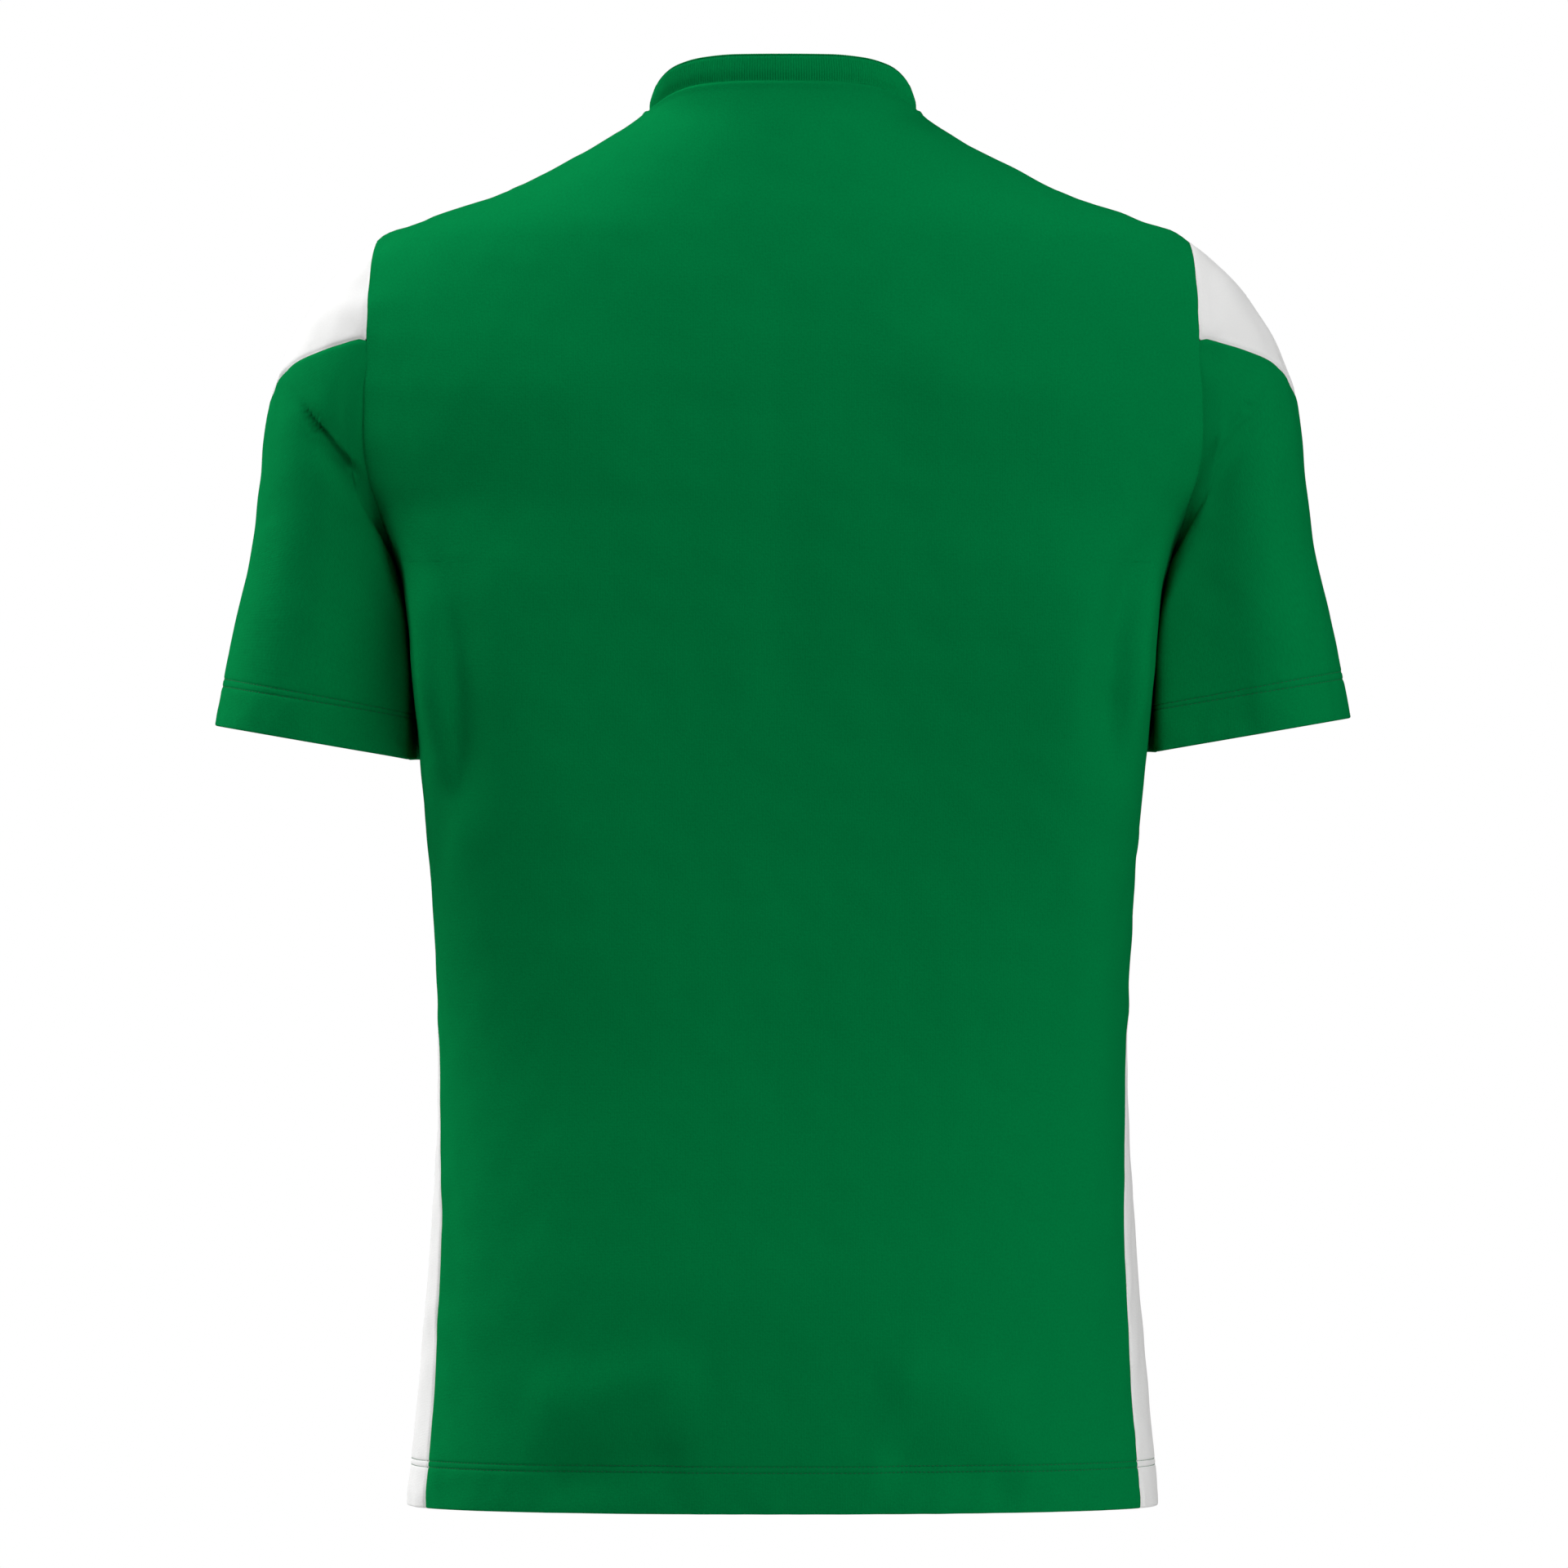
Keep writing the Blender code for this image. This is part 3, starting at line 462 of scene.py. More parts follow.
    def angle_at_x(self, x: Array, z: Array, face: Face) -> Array:
        """Compass angle of the point of one face that stands at x >= 0.

        Args:
            x: Distances to the left of the middle.
            z: Heights.
            face: Which face.

        Returns:
            The angles.
        """
        deep, n = self.half_oval(face is Face.BACK, z)
        y = deep * (1.0 - np.clip(np.abs(x) / self.width(z), 0.0, 1.0)**n)**(1.0 / n)
        return np.arctan2(face.sign * y, x)

    def normal(self, points: Array) -> Array:
        """Outward unit normals of the plain body at points on it.

        Args:
            points: Points of the plain body.

        Returns:
            The normals.
        """

        def level(q: Array) -> Array:
            """How far out a point is, 1 on the body."""
            deep, n = self.half_oval(q[..., 1] >= 0.0, q[..., 2])
            return (np.abs(q[..., 0]) / self.width(q[..., 2]))**n + (np.abs(q[..., 1]) / deep)**n

        steps = self.NORMAL_STEP * np.eye(3)
        return unit(np.stack([level(points + d) - level(points - d) for d in steps], axis=-1))

    def draped(self, points: Array) -> tuple[Array, Array]:
        """Put the folds on points of the plain body.

        Args:
            points: Points of the plain body.

        Returns:
            The points with the folds, and the plain normals there.
        """
        normal = self.normal(points)
        return lay_folds(self.folds, points, normal, points[..., 1] >= 0.0), normal

    def armhole_yz(self, a: Array) -> tuple[Array, Array]:
        """The armhole's oval in y and z, from its top over the back.

        Args:
            a: Angles round it.

        Returns:
            Its y and its z.
        """
        c, s = np.cos(a), np.sin(a)
        k = 2.0 / self.armhole_squareness
        return (self.armhole_half_y * np.sign(s) * np.abs(s)**k,
                self.armhole_mid_z + self.armhole_half_z * np.sign(c) * np.abs(c)**k)

    def armhole(self, a: Array) -> Array:
        """The left armhole on the plain body."""
        y, z = self.armhole_yz(a)
        return self.polar(self.angle_at_y(y, z), z)

    def arm_angles(self, counts: tuple[int, ...]) -> Array:
        """Angles round the armhole in even steps between its corners, so many to each stretch.

        Args:
            counts: How many steps each stretch has.

        Returns:
            The angles, from 0 to a full turn.
        """
        half = self.ARMHOLE_STEPS
        a = np.linspace(0.0, 2.0 * math.pi, 2 * half + 1)
        p = self.armhole(a)
        run = run_of(p)
        ahead = slice(half, half + half // 2)
        back = float(np.interp(-self.insert_corner_z, -p[:half, 2], run[:half]))
        front = float(np.interp(self.insert_corner_z, p[half:, 2], run[half:]))
        panel = float(np.interp(self.side_panel_top, -p[ahead, 1], run[ahead]))
        step = 1.5 * self.insert_corner_end
        stops = [0.0, back, back + step, run[half], panel, front - step, front, run[-1]]
        at = np.concatenate([np.linspace(stops[k], stops[k + 1], cells, endpoint=False)
                             for k, cells in enumerate(counts)])
        return np.interp(at, run, a)

    @property
    def underarm(self) -> int:
        """Index of the lowest armhole angle."""
        return sum(self.arm_cells[:3])

    @property
    def panel_corner(self) -> int:
        """Index of the armhole angle where the front meets the side panel."""
        return sum(self.arm_cells[:4])

    def neck_row(self, face: Face) -> tuple[Array, Array]:
        """The neckline of one face as compass angles and heights, from the left neck point to the right.

        Args:
            face: Which face.

        Returns:
            The angles and the heights.
        """
        table = self.neck_back if face is Face.BACK else self.neck_front
        line = SmoothLine(tuple((-x, z) for x, z in table) + table[:-1])
        xs = np.linspace(table[0][0], 0.0, LINE_STEPS // 2 + 1)
        zs = line(xs)
        half = self.angle_at_x(xs, zs, face)
        half[0] = 0.0
        keep = np.concatenate([[True], face.sign * half[1:] > self.LEAST_ANGLE])
        angle, zs = half[keep], zs[keep]
        return (np.concatenate([angle, (face.sign * math.pi - angle[:-1])[::-1]]),
                np.concatenate([zs, zs[:-1][::-1]]))


@dataclass
class Sleeve:
    """A sleeve as rings fanned from the armhole to the cuff, with the insert at its head."""

    torso: Torso
    side: Side
    cuff_lift: float = 0.0
    rings: Table = (
        # t, outer x and z, inner x and z, reach back and front, how far forward the inner side lies,
        # how square its corner is, and how far it leans behind and in front
        (0.0, 0.2108, -0.0671, 0.201, -0.235, 0.076, -0.076, 0.0, 2.2, 0.0, 0.0),
        (0.1, 0.231, -0.0846, 0.2015, -0.2402, 0.0765, -0.0775, -0.0045, 4.0, -0.0012, 0.0035),
        (0.22, 0.247, -0.1055, 0.1991, -0.246, 0.0755, -0.0785, -0.0085, 7.0, -0.002, 0.007),
        (0.34, 0.2594, -0.1285, 0.1974, -0.2545, 0.074, -0.079, -0.011, 11.0, -0.0018, 0.0095),
        (0.46, 0.2683, -0.16, 0.1959, -0.265, 0.073, -0.079, -0.0125, 15.0, -0.0016, 0.01),
        (0.58, 0.2716, -0.193, 0.1946, -0.277, 0.072, -0.079, -0.013, 18.0, -0.0014, 0.01),
        (0.7, 0.2757, -0.226, 0.1935, -0.29, 0.0715, -0.079, -0.013, 18.0, -0.0012, 0.01),
        (0.8, 0.2829, -0.259, 0.1928, -0.301, 0.0715, -0.0785, -0.013, 18.0, -0.0006, 0.01),
        (0.9, 0.2904, -0.2966, 0.1918, -0.3137, 0.0715, -0.078, -0.0125, 18.0, 0.0004, 0.01),
        (1.0, 0.2945, -0.3191, 0.1903, -0.3366, 0.072, -0.078, -0.012, 18.0, 0.0024, 0.01),
    )
    squareness: float = 2.2
    insert_edge: Table = ((0.2105, -0.1195), (0.2144, -0.1195), (0.2305, -0.1231), (0.2411, -0.1265),
                          (0.253, -0.1316), (0.2597, -0.138), (0.2649, -0.1473), (0.27, -0.16))
    front_folds: tuple[Crease, ...] = (
        Crease(((0.252, -0.15), (0.226, -0.2)), 0.014, 0.0025, fade=None),
        Crease(((0.258, -0.18), (0.232, -0.235)), 0.014, -0.003, fade=None),
    )
    left_creases: tuple[Crease, ...] = (
        Crease(((0.254, -0.1435), (0.2423, -0.1625), (0.233, -0.1727), (0.2237, -0.1842), (0.2152, -0.1927),
               (0.212, -0.201)), 0.0026, -0.0032, 1.0, (0.3, 0.1)),
        Crease(((0.236, -0.164), (0.227, -0.177), (0.218, -0.185), (0.213, -0.189)), 0.004, 0.0014, 1.0,
               (0.4, 0.2)),
        Crease(((0.25, -0.154), (0.24, -0.17), (0.228, -0.185), (0.218, -0.199), (0.213, -0.21)), 0.011,
               -0.0034, 1.0, (0.35, 0.25)),
        Crease(((0.268, -0.188), (0.27, -0.2), (0.266, -0.218)), 0.005, -0.001),
    )
    right_creases: tuple[Crease, ...] = (
        Crease(((0.2521, -0.1362), (0.2453, -0.1443), (0.2398, -0.1553), (0.233, -0.1642), (0.2254, -0.1727),
               (0.2177, -0.1863), (0.2114, -0.1986), (0.2071, -0.2109)), 0.0038, 0.0014, 1.0, (0.2, 0.1)),
        Crease(((0.248, -0.154), (0.24, -0.17), (0.23, -0.184), (0.221, -0.199), (0.215, -0.215)), 0.011,
               -0.002, 1.0, (0.35, 0.25)),
        Crease(((0.242, -0.1535), (0.237, -0.156)), 0.0016, -0.001),
    )
    cells: tuple[int, ...] = (26, 1, 96, 12, 34, 1, 26)
    armhole_depth: float = 0.45
    front_corner: float = 0.4
    head: float = 0.45
    fold_start: float = 0.15

    def __post_init__(self) -> None:
        """Lay the smooth lines through the rings and find how far down the insert reaches."""
        own = self.left_creases if self.side is Side.LEFT else self.right_creases
        self.folds = {Face.BACK: own, Face.FRONT: self.front_folds}
        self.angles = self.torso.arm_angles(self.cells)
        self.ring = [SmoothLine(self.rings, k) for k in range(1, 11)]
        self.edge = SmoothLine(self.insert_edge)
        self.reach = self.insert_share(self.angles)

    def point(self, a: Array, t: Array) -> Array:
        """Points of the plain sleeve at an angle round it and a share of its length.

        Args:
            a: Angles round the sleeve, from the top over the back.
            t: Shares of its length.

        Returns:
            The points.
        """
        a, t = np.broadcast_arrays(np.asarray(a, dtype=float), np.asarray(t, dtype=float))
        ox, oz, ix, iz, back, front, forward, corner, back_lean, front_lean = (line(t) for line in self.ring)
        c, s = np.cos(a), np.sin(a)
        ahead = self.squareness + self.front_corner * (corner - self.squareness)
        inner_corner = np.where(s >= 0.0, corner, ahead)
        n = np.where(c >= 0.0, self.squareness, inner_corner)
        reach = (np.abs(c)**n + np.abs(s)**n)**(-1.0 / n)
        c, s = c * reach, s * reach
        inward = 0.5 * (1.0 - c)
        x = 0.5 * (ox + ix) + 0.5 * (ox - ix) * c + np.where(s >= 0.0, back_lean, front_lean) * s * inward
        y = np.where(s >= 0.0, back, -front) * s + forward * inward * (0.75 + 0.25 * s)
        z = 0.5 * (oz + iz) + 0.5 * (oz - iz) * c
        body, mirror = self.torso, self.side.mirror
        outer_x, inner_x = self.rings[0][1], self.rings[0][3]
        ring0 = np.stack([0.5 * (outer_x + inner_x) + 0.5 * (outer_x - inner_x) * c, body.armhole_half_y * s,
                          body.armhole_mid_z + body.armhole_half_z * c], axis=-1)
        start = body.draped(body.armhole(a) * mirror)[0] * mirror
        p = np.stack([x, y, z], axis=-1) + (start - ring0) * (1.0 - smooth(t / self.head))[..., None]
        p[..., 2] += self.cuff_lift * smooth(t)
        return p * mirror

    def normal(self, a: Array, t: Array) -> Array:
        """Outward unit normals of the plain sleeve.

        Args:
            a: Angles round the sleeve, from the top over the back.
            t: Shares of its length.

        Returns:
            The normals.
        """
        h = 1e-3
        around = self.point(a + h, t) - self.point(a - h, t)
        down = self.point(a, np.clip(t + h, 0.0, 1.0)) - self.point(a, np.clip(t - h, 0.0, 1.0))
        return unit(np.cross(down, around) * self.side.sign)

    def draped(self, a: Array, t: Array) -> tuple[Array, Array]:
        """Points of the sleeve with its folds, and the plain normals there.

        Args:
            a: Angles round the sleeve, from the top over the back.
            t: Shares of its length.

        Returns:
            The points and the normals.
        """
        a, t = np.broadcast_arrays(np.asarray(a, dtype=float), np.asarray(t, dtype=float))
        p, normal = self.point(a, t), self.normal(a, t)
        share = smooth(t / self.fold_start)
        return lay_folds(self.folds, p, normal, normal[..., 1] >= 0.0, self.side.sign, share), normal

    def insert_share(self, angles: Array) -> Array:
        """How far down each line of the sleeve the insert reaches, as a share of the length.

        Args:
            angles: The angles of the lines.

        Returns:
            The shares, 0 where there is no insert.
        """
        t = np.linspace(0.0, 0.9, 361)
        out = np.zeros(len(angles))
        p = self.point(angles[:, None], t[None, :])
        for k, angle in enumerate(angles):
            over = p[k, :, 2] - self.cuff_lift * smooth(t) - self.edge(np.abs(p[k, :, 0]))
            first = int(np.argmax(over < 0.0))
            if math.cos(angle) > 0.0 and first > 0:
                above, below = over[first - 1], over[first]
                out[k] = t[first - 1] + (t[first] - t[first - 1]) * above / (above - below)
        corners = [self.cells[0], len(angles) - self.cells[-1]]
        out[corners] = self.share_of(angles[corners], np.zeros(2), self.torso.insert_corner_end)
        out[corners[0] + 1:corners[1]] = 0.0
        return out

    def share_of(self, a: Array, t: Array, length: float) -> Array:
        """The share of the sleeve's length that a length of cloth takes, square to the line of points.

        Args:
            a: Angles round the sleeve, from the top over the back.
            t: Shares of its length.
            length: The length of cloth.

        Returns:
            The share at each place.
        """
        step, least = 0.01, 0.4
        here = self.point(a, t)
        down = (self.point(a, t + step) - here) / step
        long = np.linalg.norm(down, axis=-1)
        slant = np.ones(len(here))
        if len(here) > 4:
            slant = np.linalg.norm(np.cross(unit(np.gradient(here, axis=0)), down), axis=-1) / long
        return length / (long * np.clip(slant, least, 1.0))

    def armhole_seam(self) -> Seam:
        """The seam between the sleeve and the body."""
        a = np.linspace(0.0, 2.0 * math.pi, 721)
        points, body = self.torso.draped(self.torso.armhole(a) * self.side.mirror)
        sleeve = self.normal(a, np.full(len(a), 0.004))
        share = smooth((np.sum(body * sleeve, axis=-1) - 0.1) / 0.6)[:, None]
        return Seam(points, unit(body + sleeve * share), self.armhole_depth)

    def insert_order(self) -> list[int]:
        """Indices of the angles that the insert spans, from the front over the top to the back."""
        angles = self.angles
        order = [k for k in range(len(angles)) if self.reach[k] > 0.0]
        return sorted(order, key=lambda k: angles[k] if angles[k] < math.pi else angles[k] - 2.0 * math.pi)

    def insert_seam(self) -> Seam:
        """The seam between the sleeve and the insert."""
        order = self.insert_order()
        return Seam(*self.draped(self.angles[order], self.reach[order]))

    def under_seam(self) -> Seam:
        """The seam along the underside of the sleeve."""
        return Seam(*self.draped(np.full(60, math.pi), np.linspace(0.0, 1.0, 60)))


# ---- Sewing: how an edge, a hem and the cloth beside a seam look ----


@dataclass(frozen=True)
class Sewing:
    """Wall of the cloth, and what seams and turned-up hems do to it."""

    cloth: float = 0.0010
    groove: float = 0.0008
    groove_width: float = 0.0013
    allowance: float = 0.0018
    pucker: float = 0.00055
    pucker_reach: float = 0.0050
    hem_depth: float = 0.0230
    turn_up: float = 0.0009
    needles: tuple[float, float] = (0.0212, 0.0244)
    needle_groove: float = 0.00040
    needle_width: float = 0.00050
    hem_puff: float = 0.00025
    hem_wave: float = 0.00030
    hem_wave_scale: float = 1.6
    hem_wave_reach: float = 0.030
    turn_width: float = 0.003
    calm_reach: float = 0.020
    least_wall: float = 0.0001
    small: Unevenness = Unevenness(5, 0.014, 0.030)
    small_height: float = 0.00022
    broad: Unevenness = Unevenness(11, 0.035, 0.110)
    broad_height: float = 0.00035

    def sew(self, name: str, surface: tuple[Array, Array], seams: list[Seam], rise: Array, material: Material,
            closed: bool = False) -> tuple[Object, Array]:
        """Make a cloth with its rolled edges, puckers and small unevenness.

        Args:
            name: The cloth's name.
            surface: The grid of its outer surface with its folds, and the outward normals.
            seams: The seams along its edges or on it.
            rise: Extra height and wall of each point, as the last axis, such as a hem gives.
            material: Its finish.
            closed: True where the grid's last column joins the first.

        Returns:
            The cloth, and its outer grid.
        """
        points, normals = surface
        lift = rise[..., 0].copy()
        wall = self.cloth + rise[..., 1]
        ways = normals.copy()
        calm = np.ones(points.shape[:-1])
        waves = self.small(points)
        for seam in seams:
            away, outward = seam.near(points)
            pull = np.exp(-(away / self.groove_width)**2)
            turn = np.exp(-(away / self.turn_width)**2)[..., None]
            ways = unit(ways * (1.0 - turn) + outward * turn)
            lift -= self.groove * seam.depth * pull
            wall = wall + self.allowance * pull
            reach = away / self.pucker_reach
            lift += self.pucker * waves * reach * np.exp(1.0 - reach)
            calm = calm * smooth(away / self.calm_reach)
        lift += calm * (self.small_height * waves + self.broad_height * self.broad(points))
        outer = points + ways * lift[..., None]
        inner = outer - ways * np.maximum(wall, self.least_wall)[..., None]
        return cloth_object(name, outer, inner, material, closed), outer

    def hem(self, away: Array, points: Array) -> Array:
        """Height and wall that a turned-up hem adds, by the distance from its fold.

        Args:
            away: Distances from the fold.
            points: The points of the cloth.

        Returns:
            Height and wall, as the last axis.
        """
        inner = np.where(away < self.hem_depth - 0.0001, self.turn_up, 0.0)
        radius = 0.5 * (self.cloth + self.turn_up)
        roll = radius * (1.0 - np.sqrt(np.clip(1.0 - (1.0 - np.minimum(away / radius, 1.0))**2, 0, 1)))
        lift = -roll
        for needle in self.needles:
            lift = lift - self.needle_groove * np.exp(-((away - needle) / self.needle_width)**2)
        puffed = smooth(away / 0.006) * (1.0 - smooth((away - self.needles[0] + 0.004) / 0.004))
        waves = self.small(points * self.hem_wave_scale) * np.exp(-(away / self.hem_wave_reach)**2)
        lift = lift + self.hem_puff * puffed + self.hem_wave * waves
        return np.stack([lift, inner - 2.0 * roll], axis=-1)

    def hem_steps(self) -> list[float]:
        """Distances from a hem's fold at which the cloth has a row of points."""
        low, high = self.needles
        fine = (-0.0010, -0.0006, -0.0003, 0.0, 0.0003, 0.0006, 0.0010)
        steps = [0.0, 0.0002, 0.0005, 0.0009, 0.0016, 0.0030, 0.0055, 0.0085, 0.0120, 0.0155, 0.0185]
        steps += [low + f for f in fine] + [self.hem_depth - 0.0002, self.hem_depth + 0.0001]
        return steps + [high + f for f in fine if high + f > self.hem_depth + 0.0002] + [high + 0.0022]


# ---- Finishes ----


class Socket:
    """A shader socket that takes part in Python expressions: each operator adds a Math node."""

    def __init__(self, shader: "Shader", socket: bpy.types.NodeSocket) -> None:
        """Wrap a socket of a shader."""
        self.shader = shader
        self.socket = socket

    def __add__(self, other: "Socket | float") -> "Socket":
        """Sum."""
        return self.shader.maths("ADD", self, other)

    def __sub__(self, other: "Socket | float") -> "Socket":
        """Difference."""
        return self.shader.maths("SUBTRACT", self, other)

    def __rsub__(self, other: "Socket | float") -> "Socket":
        """Difference from a value."""
        return self.shader.maths("SUBTRACT", other, self)

    def __mul__(self, other: "Socket | float") -> "Socket":
        """Product."""
        return self.shader.maths("MULTIPLY", self, other)

    def sine(self) -> "Socket":
        """Sine of the value."""
        return self.shader.maths("SINE", self)

    def size(self) -> "Socket":
        """Absolute value."""
        return self.shader.maths("ABSOLUTE", self)

    __radd__ = __add__
    __rmul__ = __mul__


class Shader:
    """A material that is written as expressions."""

    def __init__(self, name: str) -> None:
        """Start a material with its Principled shader."""
        self.material = bpy.data.materials.new(name)
        self.material.use_nodes = True
        self.tree = self.material.node_tree
        self.principled = self.tree.nodes["Principled BSDF"]

    def node(self, kind: str, settings: dict[str, object], inputs: dict[str | int, object],
             output: str | int = 0) -> Socket:
        """Add a node.

        Args:
            kind: The node's type, without its ShaderNode prefix.
            settings: Its settings, which are set first.
            inputs: Values or links of its sockets.
            output: The socket that is handed back.

        Returns:
            The output socket.
        """
        node = self.tree.nodes.new("ShaderNode" + kind)
        for name, value in settings.items():
            setattr(node, name, value)
        self.fill(node, inputs)
        return Socket(self, node.outputs[output])

    def fill(self, node: bpy.types.Node, inputs: dict[str | int, object]) -> None:
        """Set or link sockets of a node."""
        for name, value in inputs.items():
            if isinstance(value, Socket):
                self.tree.links.new(value.socket, node.inputs[name])
            else:
                node.inputs[name].default_value = value

    def maths(self, operation: str, *values: "Socket | float") -> Socket:
        """Add a Math node."""
        return self.node("Math", {"operation": operation}, dict(enumerate(values)))

    def mix(self, factor: "Socket | float", a: "Socket | Colour", b: "Socket | Colour") -> Socket:
        """Mix two colours.

        Args:
            factor: How much of the second.
            a: The first colour.
            b: The second colour.

        Returns:
            The mixed colour.
        """
        inputs = {0: factor, 6: a if isinstance(a, Socket) else (*a, 1.0),
                  7: b if isinstance(b, Socket) else (*b, 1.0)}
        return self.node("Mix", {"data_type": "RGBA"}, inputs, 2)

    def surface(self, inputs: dict[str | int, object]) -> Material:
        """Set the Principled shader's sockets and hand back the material."""
        self.fill(self.principled, inputs)
        return self.material


@dataclass(frozen=True)
class KnitFinish:
    """A fine brushed knit: soft grain, faint wales, matte."""

    name: str
    colour: Colour
    contrast: float = 0.07
    grain_scale: float = 820.0
    grain_tone: float = 2.2
    cloud_scale: float = 46.0
    cloud_tone: float = 0.2
    yarn_tone: float = 0.05
    yarn_height: float = 0.22
    wale: float = 0.00080
    course: float = 0.00060
    bump: float = 0.35
    bump_height: float = 0.00035
    roughness: float = 0.88
    swing: float = 0.12
    sheen: float = 0.005
    specular: float = 0.005

    def make(self) -> Material:
        """Build the material; its patterns follow the cloth's own lengths."""
        s = Shader(self.name)
        cloth = s.node("UVMap", {"uv_map": "cloth"}, {})
        across, up = (s.node("SeparateXYZ", {}, {0: cloth}, k) for k in (0, 1))
        grain = s.node("TexNoise", {"noise_dimensions": "2D"},
                       {"Vector": cloth, "Scale": self.grain_scale, "Detail": 3.0, "Roughness": 0.62})
        cloud = s.node("TexNoise", {"noise_dimensions": "2D"},
                       {"Vector": cloth, "Scale": self.cloud_scale, "Detail": 2.0, "Roughness": 0.5})
        turn = 2.0 * math.pi
        wales = (across * (turn / self.wale)).sine()
        loops = (up * (turn / self.course) + wales.size() * 2.4).sine()
        yarn = wales * 0.5 + loops * 0.5
        tone = (0.5 + (grain - 0.5) * self.grain_tone + (cloud - 0.5) * self.cloud_tone
                + yarn * self.yarn_tone)
        light = tuple(min(c * (1.0 + self.contrast), 1.0) for c in self.colour)
        dark = tuple(c * (1.0 - self.contrast) for c in self.colour)
        height = (grain - 0.5) + yarn * self.yarn_height
        bump = s.node("Bump", {}, {"Strength": self.bump, "Distance": self.bump_height, "Height": height})
        return s.surface({
            "Base Color": s.mix(tone, dark, light),
            "Roughness": self.roughness + (grain - 0.5) * self.swing,
            "Normal": bump,
            "Specular IOR Level": self.specular,
            "Sheen Weight": self.sheen,
            "Sheen Roughness": 0.5,
            "Sheen Tint": (*self.colour, 1.0),
        })


@dataclass(frozen=True)
class GrainFinish:
    """A plain matte finish with a fine grain: the sewing thread, and the studio's floor."""

    name: str
    colour: Colour
    scale: float
    detail: float
    shade: float
    roughness: float
    swing: float = 0.0
    bump: float = 0.0
    bump_height: float = 0.0001
    specular: float = 0.1

    def make(self) -> Material:
        """Build the material."""
        s = Shader(self.name)
        place = s.node("TexCoord", {}, {}, "Object")
        grain = s.node("TexNoise", {}, {"Vector": place, "Scale": self.scale, "Detail": self.detail})
        dark = tuple(self.shade * c for c in self.colour)
        bump = s.node("Bump", {}, {"Strength": self.bump, "Distance": self.bump_height, "Height": grain})
        return s.surface({
            "Base Color": s.mix(grain, dark, self.colour),
            "Roughness": self.roughness + (grain - 0.5) * self.swing,
            "Normal": bump,
            "Specular IOR Level": self.specular,
        })


# ---- Meshes ----


def quads(i: Array, j: Array, corners: tuple[tuple[int, int, int], ...]) -> Array:
    """Quads with corners that step on from rows i and columns j.

    Args:
        i: Rows of their first corners.
        j: Columns of those.
        corners: Steps to each corner.

    Returns:
        Row, column and layer of each corner of each quad.
    """
    return np.stack([np.stack([i + di, j + dj, 0 * i + layer], axis=1) for di, dj, layer in corners], axis=1)


def cells(rows: int, columns: int) -> tuple[Array, Array]:
    """Row and column of every cell of a grid."""
    i, j = np.meshgrid(np.arange(rows), np.arange(columns), indexing="ij")
    return i.ravel(), j.ravel()


def wall_faces(rows: int, columns: int, closed: bool) -> Array:
    """Quads of a closed cloth wall.

    Args:
        rows: Rows of the outer grid; the inner one has as many.
        columns: Columns of each.
        closed: True where the last column joins the first.

    Returns:
        Four corners per quad, each as row, column and layer, where a closed grid's last column is one
        past its points.
    """
    span = columns if closed else columns - 1
    outer = quads(*cells(rows - 1, span), AROUND)
    inner = outer[:, ::-1].copy()
    inner[..., 2] = 1
    parts = [outer, inner]
    for row, turn in ((0, 1), (rows - 1, -1)):
        parts.append(quads(np.full(span, row), np.arange(span), END_ROW)[:, ::turn])
    if not closed:
        for column, turn in ((0, 1), (columns - 1, -1)):
            parts.append(quads(np.arange(rows - 1), np.full(rows - 1, column), END_COLUMN)[:, ::turn])
    return np.concatenate(parts)


def mesh_object(name: str, points: Array, faces: Array, uv: Array | None, material: Material,
                crease_angle: float = 50.0) -> Object:
    """Make a smooth object with outward faces.

    Args:
        name: The object's name.
        points: Vertices.
        faces: Corners of each face as vertex indices.
        uv: Place on the flat cloth of each corner of each face, in metres, or None.
        material: Its finish.
        crease_angle: Angle from which an edge is shaded sharp, in degrees.

    Returns:
        The object, linked to the scene.
    """
    a, b, c = (points[faces[:, k]] for k in (0, 1, 2))
    d = points[faces[:, -1]]
    volume = np.sum(a * np.cross(b, c)) + np.sum(a * np.cross(c, d))
    if volume < 0.0:
        faces = faces[:, ::-1]
        uv = None if uv is None else uv[:, ::-1]
    mesh = bpy.data.meshes.new(name)
    mesh.from_pydata(points.tolist(), [], faces.tolist())
    if uv is not None:
        mesh.uv_layers.new(name="cloth").data.foreach_set("uv", np.ascontiguousarray(uv).ravel())
    mesh.update()
    mesh.shade_smooth()
    mesh.set_sharp_from_angle(angle=math.radians(crease_angle))
    mesh.materials.append(material)
    thing = bpy.data.objects.new(name, mesh)
    bpy.context.scene.collection.objects.link(thing)
    return thing


